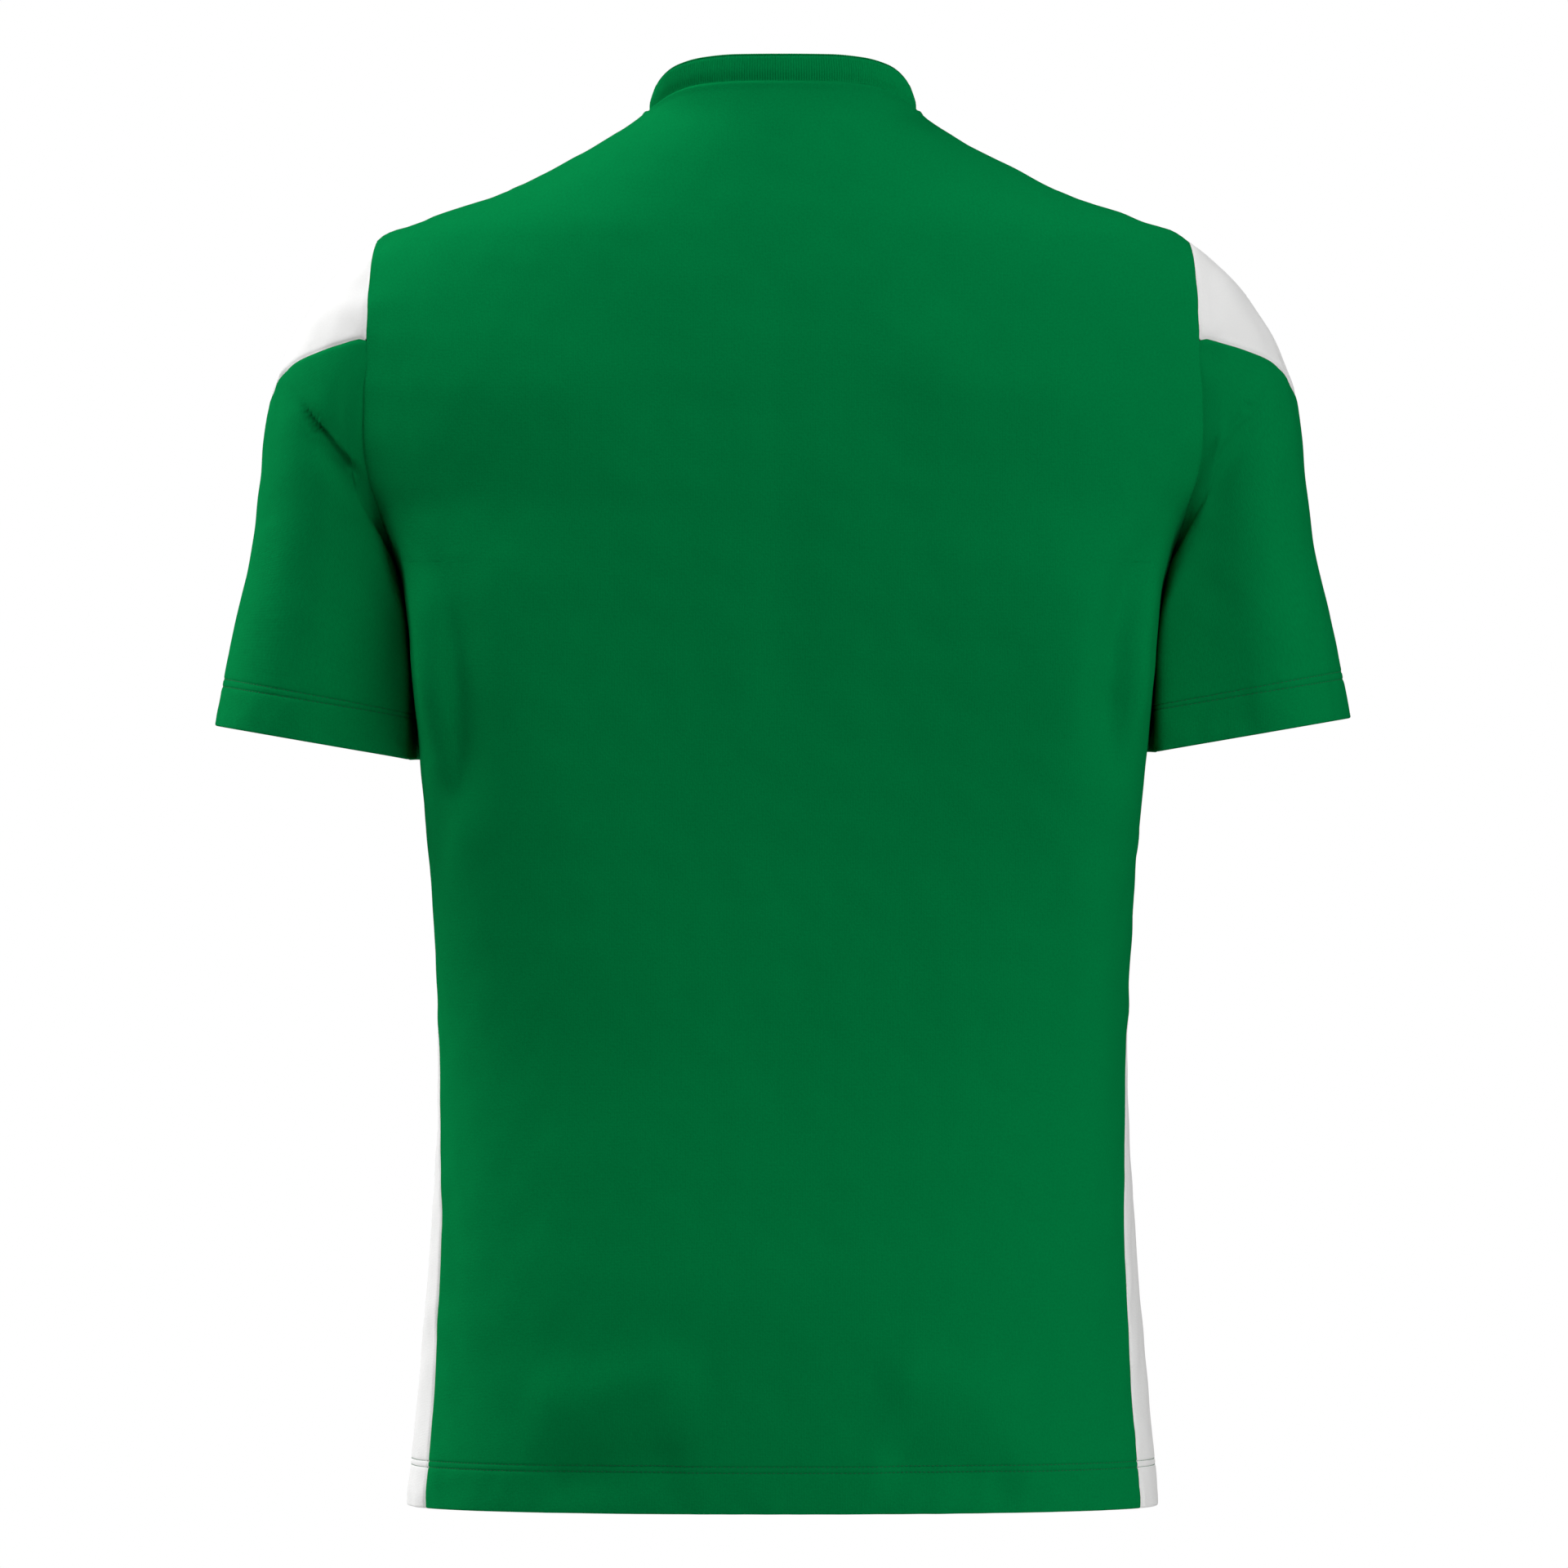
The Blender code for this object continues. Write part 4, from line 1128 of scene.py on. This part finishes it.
def cloth_object(name: str, outer: Array, inner: Array, material: Material,
                 closed: bool = False) -> Object:
    """Make a cloth from its outer and inner grid, with its lengths as a UV map.

    Args:
        name: The object's name.
        outer: Outer grid of points.
        inner: Inner grid of points.
        material: Its finish.
        closed: True where the last column joins the first.

    Returns:
        The object.
    """
    rows, columns = outer.shape[:2]
    corners = wall_faces(rows, columns, closed)
    index = corners[..., 2] * rows * columns + corners[..., 0] * columns + corners[..., 1] % columns
    loop = np.concatenate([outer, outer[:, :1]], axis=1) if closed else outer
    across = np.array([run_of(row) for row in loop])
    across = across - 0.5 * across[:, -1:]
    up = np.broadcast_to(run_of(outer[:, columns // 2])[:, None], across.shape)
    uv = np.stack([across, up], axis=-1)[corners[..., 0], corners[..., 1]]
    points = np.concatenate([outer.reshape(-1, 3), inner.reshape(-1, 3)])
    return mesh_object(name, points, index, uv, material)


# ---- Pieces ----


@dataclass
class Cut:
    """The flat cut of what shows of a cloth: its box and its area."""

    width: float
    length: float
    area: float


@dataclass
class BodyPanels:
    """Back, front and side panels: the knitted cloths of the body."""

    torso: Torso
    sleeves: dict[Side, Sleeve]
    sewing: Sewing
    columns: int = 132
    side_columns: int = 26
    row_step: float = 0.0031
    shoulder_rows: int = 44
    front_top_z: float = -0.112
    flat_rise: float = 0.30
    side_line_steps: int = 121
    shoulder_length: float = 0.085
    swell: float = 0.0007
    swell_from: float = 0.0018
    swell_width: float = 0.0016
    dip: float = 0.0006

    def low_heights(self) -> Array:
        """Heights of the rows below the underarm."""
        steps = self.sewing.hem_steps()
        top = self.torso.armhole_low_z - self.torso.hem_z
        count = int((top - steps[-1]) / self.row_step)
        even = np.linspace(steps[-1], top, count + 1)[1:-1]
        return self.torso.hem_z + np.concatenate([steps, even, [top - 0.0015, top - 0.0006]])

    def row_line(self, start: float, start_z: float, middle_z: float, face: Face) -> tuple[Array, Array]:
        """Angles and heights of a row of one face from its left edge to its right, level but for its ends.

        Args:
            start: Angle of its left end.
            start_z: Height of its ends.
            middle_z: Height of its level part.
            face: Which face.

        Returns:
            The angles and the heights.
        """
        u = np.linspace(0.0, 1.0, LINE_STEPS)
        rise = smooth(np.minimum(u, 1.0 - u) / self.flat_rise)
        return start + (face.sign * math.pi - 2.0 * start) * u, start_z + (middle_z - start_z) * rise

    def face_rows(self, face: Face) -> Array:
        """Rows of plain points of the back or the front, hem first.

        Args:
            face: Which face.

        Returns:
            The rows, from the left edge to the right.
        """
        torso = self.torso
        rows = [(float(torso.side_angle(face, z)), z, z) for z in self.low_heights()]
        if face is Face.BACK:
            steps = torso.angles[torso.underarm::-1]
        else:
            steps = np.append(torso.angles[torso.panel_corner:], 2.0 * math.pi)
        y, z = torso.armhole_yz(steps)
        low_z, top_z = torso.armhole_low_z, z[-1] if face is Face.BACK else self.front_top_z
        middles = low_z + (z - low_z) * (top_z - low_z) / (z[-1] - low_z)
        rows += [(float(torso.angle_at_y(y[k], z[k])), z[k], middles[k]) for k in range(len(steps))]
        points = [spread(torso.polar(*self.row_line(*row, face)), self.columns) for row in rows]
        return np.array(points + self.shoulder(face, float(z[-1]), float(middles[-1])))

    def shoulder(self, face: Face, tip_z: float, middle_z: float) -> list[Array]:
        """Rows from the shoulder tip up to the neckline.

        Args:
            face: Which face.
            tip_z: Height of the shoulder tip.
            middle_z: Height of the middle of the row at the tip.

        Returns:
            The rows, neckline last.
        """
        torso = self.torso
        low_angle, low_z = self.row_line(0.0, tip_z, middle_z, face)
        angle, height = torso.neck_row(face)
        u, run = np.linspace(0.0, 1.0, LINE_STEPS), np.linspace(0.0, 1.0, len(angle))
        high_angle, high_z = np.interp(u, run, angle), np.interp(u, run, height)
        heights = np.linspace(0.0, tip_z, 200)
        xs = np.linspace(torso.width(tip_z), torso.width(0.0), self.shoulder_rows + 1)[1:-1]
        shares = 1.0 - np.interp(xs, torso.width(heights), heights) / tip_z
        edge = 1.0 - np.array(EDGE_STEPS)[::-1] / self.shoulder_length
        shares = np.concatenate([shares[shares < edge[0] - 0.01], edge])
        return [spread(torso.polar(low_angle + (high_angle - low_angle) * s, low_z + (high_z - low_z) * s),
                       self.columns) for s in shares]

    def side_seam(self, side: Side, face: Face) -> Seam:
        """The seam between a side panel and the back or the front."""
        z = np.linspace(self.torso.hem_z, self.torso.side_seams[0][0], 240)
        return Seam(*self.torso.draped(self.torso.polar(self.torso.side_angle(face, z), z) * side.mirror))

    def shoulder_seam(self, side: Side) -> Seam:
        """The seam between back and front along the shoulder."""
        z = np.linspace(self.torso.armhole_top_z, 0.0, 160)
        return Seam(*self.torso.draped(self.torso.polar(np.zeros(len(z)), z) * side.mirror))

    def neck_rise(self, rows: int, columns: int) -> Array:
        """Height the cloth gains beside the neckband, where it is sewn over the band's foot.

        Args:
            rows: Rows of the cloth.
            columns: Its columns.

        Returns:
            Height and wall, as the last axis.
        """
        rise = np.zeros((rows, columns, 2))
        away = np.array(EDGE_STEPS)[::-1]
        swell = self.swell * np.exp(-((away - self.swell_from) / self.swell_width)**2)
        rise[-len(away):, :, 0] = (swell - self.dip * np.exp(-(away / self.dip)**2))[:, None]
        return rise

    def build_face(self, face: Face, material: Material) -> tuple[Object, Array]:
        """Make the back or the front.

        Args:
            face: Which one.
            material: Its finish.

        Returns:
            The cloth, and its outer grid.
        """
        points, normals = self.torso.draped(self.face_rows(face))
        rise = self.neck_rise(*points.shape[:2]) + self.sewing.hem(points[..., 2] - self.torso.hem_z, points)
        seams = []
        for side, sleeve in self.sleeves.items():
            seams += [self.side_seam(side, face), self.shoulder_seam(side), sleeve.armhole_seam()]
        return self.sewing.sew(face.value + "_cloth", (points, normals), seams, rise, material)

    def build_side(self, side: Side, material: Material) -> tuple[Object, Array]:
        """Make a side panel.

        Args:
            side: Which one.
            material: Its finish.

        Returns:
            The cloth, and its outer grid.
        """
        torso, steps = self.torso, self.side_line_steps
        rows = []
        for z in self.low_heights():
            first, last = (float(torso.side_angle(face, z)) for face in Face)
            rows.append(torso.polar(first + (last - first) * np.linspace(0.0, 1.0, steps), z))
        angles = torso.angles[torso.underarm:torso.panel_corner + 1]
        last = len(angles) - 1
        rows.append(torso.armhole(np.interp(np.linspace(0, last, steps), range(last + 1), angles)))
        rows = np.array([spread(row, self.side_columns) for row in rows])
        points, normals = torso.draped(rows * side.mirror)
        rise = self.sewing.hem(points[..., 2] - torso.hem_z, points)
        seams = [self.side_seam(side, face) for face in Face] + [self.sleeves[side].armhole_seam()]
        return self.sewing.sew("side_cloth_" + side.value, (points, normals), seams, rise, material)


@dataclass
class SleeveCloths:
    """A sleeve and the insert at its head."""

    sleeve: Sleeve
    sewing: Sewing
    rows: int = 110
    insert_rows: int = 22
    insert_edge: float = 0.30
    length_per_share: float = 0.230

    def sleeve_shares(self) -> Array:
        """Share of the length of each row of the sleeve, for each angle."""
        sleeve, angles = self.sleeve, self.sleeve.angles
        start = [sleeve.reach + sleeve.share_of(angles, sleeve.reach, max(d, 1e-5)) for d in EDGE_STEPS]
        hem = [np.full(len(angles), 1.0 - d / self.length_per_share) for d in self.sewing.hem_steps()[::-1]]
        middle = [start[-1] + (hem[0] - start[-1]) * s for s in np.linspace(0.0, 1.0, self.rows + 1)[1:-1]]
        return np.array(start + middle + hem)

    def build_sleeve(self, material: Material) -> tuple[Object, Array]:
        """Make the sleeve, from its head down to the cuff.

        Args:
            material: Its finish.

        Returns:
            The cloth, and its outer grid.
        """
        shares = self.sleeve_shares()
        sleeve = self.sleeve
        points, normals = sleeve.draped(sleeve.angles[None, :], shares)
        rise = self.sewing.hem((1.0 - shares) * self.length_per_share, points)
        seams = [sleeve.armhole_seam(), sleeve.insert_seam(), sleeve.under_seam()]
        name = "sleeve_cloth_" + sleeve.side.value
        return self.sewing.sew(name, (points, normals), seams, rise, material, closed=True)

    def build_insert(self, material: Material) -> tuple[Object, Array]:
        """Make the insert between armhole and sleeve.

        Args:
            material: Its finish.

        Returns:
            The cloth, and its outer grid.
        """
        sleeve, order = self.sleeve, self.sleeve.insert_order()
        a, reach = sleeve.angles[order], sleeve.reach[order]
        share = sleeve.share_of(a, np.zeros(len(a)), 1.0)
        edge = np.minimum(np.array(EDGE_STEPS)[:, None], self.insert_edge * (reach / share)[None, :])
        first, last = edge * share, reach - edge[::-1] * share
        middle = first[-1] + (last[0] - first[-1]) * np.linspace(0.0, 1.0, self.insert_rows + 1)[1:-1, None]
        surface = sleeve.draped(a[None, :], np.concatenate([first, middle, last]))
        seams, plain = [sleeve.armhole_seam(), sleeve.insert_seam()], np.zeros((*surface[0].shape[:2], 2))
        return self.sewing.sew("insert_cloth_" + sleeve.side.value, surface, seams, plain, material)


@dataclass
class Neckband:
    """The neckband: a rib strip folded double that stands on the neckline."""

    torso: Torso
    height: float = 0.0145
    wall: float = 0.0026
    foot: float = 0.0022
    setback: float = 0.0008
    pitch: float = 0.00135
    rib: float = 0.00022
    points_per_rib: int = 5
    crease_angle: float = 70.0

    def neckline(self) -> Array:
        """The neckline all round, from the left neck point over the back."""
        loops = []
        for face in (Face.BACK, Face.FRONT):
            line = self.torso.draped(self.torso.polar(*self.torso.neck_row(face)))[0]
            loops.append(line if face is Face.BACK else line[::-1])
        line = np.concatenate([loops[0], loops[1][1:]])
        whole = run_of(line)[-1]
        ribs = int(round(whole / self.pitch))
        return at_lengths(line, np.linspace(0.0, whole, ribs * self.points_per_rib, endpoint=False))

    def build(self, material: Material) -> Object:
        """Make the band with its ribs.

        Args:
            material: Its finish.

        Returns:
            The band.
        """
        base = self.neckline()
        surface = self.torso.normal(base)
        along = unit(np.roll(base, -1, axis=0) - np.roll(base, 1, axis=0))
        up = np.cross(along, surface)
        up = up * np.sign(up[:, 2:3])
        rise = unit(up + np.array([0.0, 0.0, 1.0]))
        out = np.cross(rise, along)
        out = unit(out * np.sign(np.sum(out * surface, axis=1, keepdims=True)))
        section = self.section()
        ribs = self.rib * np.cos(2.0 * math.pi * np.arange(len(base)) / self.points_per_rib)[:, None]
        grid = np.array([base + rise * r + out * (o + deep * ribs) for r, o, deep in section])
        rows, columns = grid.shape[:2]
        corners = quads(*cells(rows, columns), AROUND)
        index = (corners[..., 0] % rows) * columns + corners[..., 1] % columns
        lengths = run_of(np.append(base, base[:1], axis=0))
        ups = run_of(np.array([(r, o) for r, o, _ in section + section[:1]]))
        uv = np.stack([lengths[corners[..., 1]], ups[corners[..., 0]]], axis=-1)
        return mesh_object("neckband_rib", grid.reshape(-1, 3), index, uv, material, self.crease_angle)

    def section(self) -> list[tuple[float, float, float]]:
        """The band cut across: rise, outward, and how deep the ribs are there."""
        h, w, back = self.height, self.wall, self.setback
        outer = [(-self.foot, -back, 0.0), (-0.5 * self.foot, -back, 0.6), (0.0, -back, 1.0)]
        outer += [(h * r, 0.0004 * math.sin(math.pi * r) - back * (1.0 - smooth(np.array(r / 0.35))), 1.0)
                  for r in (0.10, 0.22, 0.35, 0.50, 0.65, 0.78, 0.86)]
        outer += [(h * 0.895, -0.00022, 0.7), (h * 0.925, -0.00010, 0.7)]
        top = [(h - 0.5 * w * (1.0 - math.cos(a)), -0.5 * w - 0.5 * w * math.sin(-a), 0.6)
               for a in np.radians((-65.0, -40.0, -15.0, 15.0, 40.0, 65.0))]
        inner = [(h * 0.90, -w, 0.8), (h * 0.70, -w, 1.0), (h * 0.45, -w, 1.0), (h * 0.20, -w, 1.0),
                 (0.0, -0.95 * w, 0.8), (-self.foot, -0.9 * w, 0.0)]
        return [(float(r), float(o), float(d)) for r, o, d in outer + top + inner]


@dataclass
class HemStitching:
    """Two rows of needle thread along a hem, as lock stitches of one size."""

    sewing: Sewing
    thread: Material
    stitch: float = 0.0023
    gap: float = 0.0004
    thick: float = 0.00042
    crease_angle: float = 80.0

    def __post_init__(self) -> None:
        """Model the stitch that every row repeats, and find the needles' rows."""
        self.template = self.one_stitch()
        steps = self.sewing.hem_steps()
        self.needle_rows = [steps.index(needle) for needle in self.sewing.needles]

    def one_stitch(self) -> tuple[Array, Array]:
        """Model one stitch along X by hand: a small bead, drawn out, pressed flat and dipped at both ends.

        Returns:
            Its vertices and its faces.
        """
        bpy.ops.object.select_all(action="DESELECT")
        bpy.ops.mesh.primitive_uv_sphere_add(segments=6, ring_count=5, radius=0.5,
                                             rotation=(0.0, math.pi / 2, 0.0))
        bead = bpy.context.object
        bpy.ops.object.transform_apply(location=True, rotation=True, scale=True)
        bpy.ops.object.mode_set(mode="EDIT")
        bpy.ops.mesh.select_all(action="SELECT")
        bpy.ops.mesh.quads_convert_to_tris()
        bpy.ops.transform.resize(value=(self.stitch - self.gap, self.thick, 0.8 * self.thick))
        bpy.ops.object.mode_set(mode="OBJECT")
        points = np.array([v.co[:] for v in bead.data.vertices])
        points[:, 2] -= 0.9 * self.thick * (2.0 * np.abs(points[:, 0]) / self.stitch)**3
        faces = np.array([np.roll(p.vertices, -int(np.argmin(p.vertices))) for p in bead.data.polygons])
        bpy.data.objects.remove(bead, do_unlink=True)
        return points, faces[np.lexsort(faces.T)]

    def row(self, line: Array, outward: Array) -> tuple[Array, Array]:
        """Lay stitches along a line of the cloth.

        Args:
            line: Points of the needle line.
            outward: Ways out of the cloth there.

        Returns:
            Vertices and faces of the stitches.
        """
        points, faces = self.template
        run = run_of(line)
        count = int(run[-1] / self.stitch)
        at = (np.arange(count) + 0.5) * run[-1] / count
        middle = at_lengths(line, at)
        ahead = unit(at_lengths(line, at + 0.3 * self.stitch) - at_lengths(line, at - 0.3 * self.stitch))
        up = unit(blend(at, run, outward))
        side = unit(np.cross(up, ahead))
        up = np.cross(ahead, side)
        x, y, z = (points[None, :, k:k + 1] for k in range(3))
        placed = (middle[:, None] + x * ahead[:, None] + y * side[:, None]
                  + (z + 0.15 * self.thick) * up[:, None])
        index = faces[None] + len(points) * np.arange(count)[:, None, None]
        return placed.reshape(-1, 3), index.reshape(-1, faces.shape[1])

    def build(self, name: str, grid: Array, cuff: bool = False) -> Object:
        """Stitch two rows along a cloth's hem.

        Args:
            name: The object's name.
            grid: The cloth's outer grid.
            cuff: True for a cuff, which runs all round and is the grid's last rows.

        Returns:
            The stitches of the hem, as one object.
        """
        all_points, all_faces, total = [], [], 0
        for row in sorted(len(grid) - 1 - k if cuff else k for k in self.needle_rows):
            line = grid[row]
            across = np.roll(line, -1, axis=0) - np.roll(line, 1, axis=0)
            if not cuff:
                across[0], across[-1] = across[1], across[-2]
            outward = unit(np.cross(across, grid[row + 2] - grid[row - 2]))
            if np.sum((line - line.mean(axis=0)) * outward) < 0.0:
                outward = -outward
            if cuff:
                line, outward = np.append(line, line[:1], axis=0), np.append(outward, outward[:1], axis=0)
            points, faces = self.row(line, outward)
            all_points.append(points)
            all_faces.append(faces + total)
            total += len(points)
        return mesh_object(name, np.concatenate(all_points), np.concatenate(all_faces), None, self.thread,
                           self.crease_angle)


# ---- Studio ----


@dataclass(frozen=True)
class Lamp:
    """A square soft light, placed by compass from the jersey's back."""

    name: str
    azimuth: float
    elevation: float
    power: float
    size: float = 3.0
    distance: float = 5.0

    def place(self) -> Vector:
        """Where it stands, seen from what it lights."""
        a, e = math.radians(self.azimuth), math.radians(self.elevation)
        return Vector((math.sin(a) * math.cos(e), math.cos(a) * math.cos(e), math.sin(e))) * self.distance


@dataclass
class Studio:
    """Camera, soft lamps, pale floor and white surroundings."""

    target: tuple[float, float, float] = (-0.0006, 0.0, -0.3493)
    distance: float = 8.0
    lens: float = 353.5
    floor_z: float = -1.60
    floor_radius: float = 1.6
    floor_colour: Colour = (0.80, 0.80, 0.79)
    sensor_width: float = 36.0
    lamps: tuple[Lamp, ...] = (
        Lamp("side_left", 110.0, 0.0, 122.0),
        Lamp("high_left", 110.0, 45.0, 168.0),
        Lamp("top_left", 85.0, 45.0, 82.0),
        Lamp("back_right", -35.0, 30.0, 150.0),
        Lamp("back", 0.0, 20.0, 36.0),
        Lamp("side_right", -85.0, 0.0, 64.0),
        Lamp("top", 0.0, 85.0, 37.0),
    )

    def light(self, lamp: Lamp) -> None:
        """Add a lamp that faces the jersey.

        Args:
            lamp: The lamp.
        """
        data = bpy.data.lights.new(lamp.name, "AREA")
        data.shape, data.size, data.energy = "SQUARE", lamp.size, lamp.power
        thing = bpy.data.objects.new(lamp.name, data)
        way = lamp.place()
        turn = (-way).to_track_quat("-Z", "Y").to_matrix().to_4x4()
        thing.matrix_world = Matrix.Translation(Vector(self.target) + way) @ turn
        bpy.context.scene.collection.objects.link(thing)

    def build(self) -> None:
        """Set everything up."""
        scene = bpy.context.scene
        scene.view_settings.view_transform = "Standard"
        lens = bpy.data.cameras.new("camera")
        lens.lens, lens.sensor_width = self.lens, self.sensor_width
        camera = bpy.data.objects.new("camera", lens)
        camera.location = (self.target[0], self.distance, self.target[2])
        camera.rotation_euler = (math.pi / 2, 0.0, math.pi)
        scene.collection.objects.link(camera)
        scene.camera = camera
        for lamp in self.lamps:
            self.light(lamp)
        self.floor()
        self.surroundings()

    def floor(self) -> None:
        """Lay the round floor."""
        bpy.ops.object.select_all(action="DESELECT")
        bpy.ops.mesh.primitive_circle_add(vertices=96, radius=self.floor_radius, fill_type="NGON",
                                          location=(0.0, 0.0, self.floor_z))
        floor = bpy.context.object
        bpy.ops.object.transform_apply(location=True, rotation=True, scale=True)
        floor.name = "studio_floor"
        paper = GrainFinish("pale_paper", self.floor_colour, scale=260.0, detail=3.0, shade=0.97,
                            roughness=0.9)
        floor.data.materials.append(paper.make())

    def surroundings(self) -> None:
        """Give the world a white ground that the camera sees and that lights nothing."""
        world = bpy.data.worlds.new("studio")
        bpy.context.scene.world = world
        world.use_nodes = True
        tree = world.node_tree
        white = tree.nodes["Background"].inputs
        white["Color"].default_value = (1.0, 1.0, 1.0, 1.0)
        seen = tree.nodes.new("ShaderNodeLightPath").outputs["Is Camera Ray"]
        tree.links.new(seen, white["Strength"])


# ---- The jersey ----


@dataclass
class Jersey:
    """The whole jersey: builds each piece, sets it on the root body and hides the CAD part it replaces."""

    sewing: Sewing = field(default_factory=Sewing)
    cuff_lift: float = 0.004

    def settle(self, piece: Object) -> None:
        """Tell the frame which body a piece rides on, and log how many faces it has.

        Args:
            piece: The piece.
        """
        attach(piece, "root")
        LOG.info("%s: %d faces", piece.name, len(piece.data.polygons))

    def declare(self, cloth: Object, node: str,
                stitches: list[Object]) -> None:
        """Tell the frame about a cloth and its stitching.

        Args:
            cloth: The cloth.
            node: The CAD node that it stands for.
            stitches: Stitching that goes with it.
        """
        self.settle(cloth)
        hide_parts(node)
        for piece in stitches:
            self.settle(piece)

    def build(self) -> None:
        """Build every piece."""
        green = KnitFinish("green_knit_cloth", (0.0004, 0.180, 0.046)).make()
        white = KnitFinish("white_knit_cloth", (0.80, 0.80, 0.795), contrast=0.02).make()
        rib = KnitFinish("green_rib_cloth", (0.0004, 0.196, 0.050)).make()
        thread = GrainFinish("green_thread", (0.010, 0.130, 0.050), scale=2600.0, detail=2.0, shade=0.75,
                             roughness=0.65, swing=0.2, bump=0.4).make()
        torso = Torso()
        sleeves = {Side.LEFT: Sleeve(torso, Side.LEFT), Side.RIGHT: Sleeve(torso, Side.RIGHT, self.cuff_lift)}
        panels = BodyPanels(torso, sleeves, self.sewing)
        stitching = HemStitching(self.sewing, thread)
        for face in Face:
            cloth, grid = panels.build_face(face, green)
            stitches = [stitching.build("hem_stitches_" + face.value, grid)]
            self.declare(cloth, face.value + "_panel", stitches)
        for side in Side:
            at = side.value
            cloth, grid = panels.build_side(side, white)
            stitches = [stitching.build("hem_stitches_side_" + at, grid)]
            self.declare(cloth, "side_panel_" + at,
                         stitches)
            cloths = SleeveCloths(sleeves[side], self.sewing)
            cloth, grid = cloths.build_sleeve(green)
            stitches = [stitching.build("cuff_stitches_" + at, grid, cuff=True)]
            self.declare(cloth, "sleeve_" + at, stitches)
            cloth, grid = cloths.build_insert(white)
            self.declare(cloth, "cap_insert_" + at, [])
        band = Neckband(torso).build(rib)
        self.declare(band, "collar", [])


def main() -> None:
    """Set up the studio and build the jersey."""
    logging.basicConfig(level=logging.INFO, format="%(name)s %(message)s")
    Studio().build()
    Jersey().build()


if __name__ == "__main__":
    main()
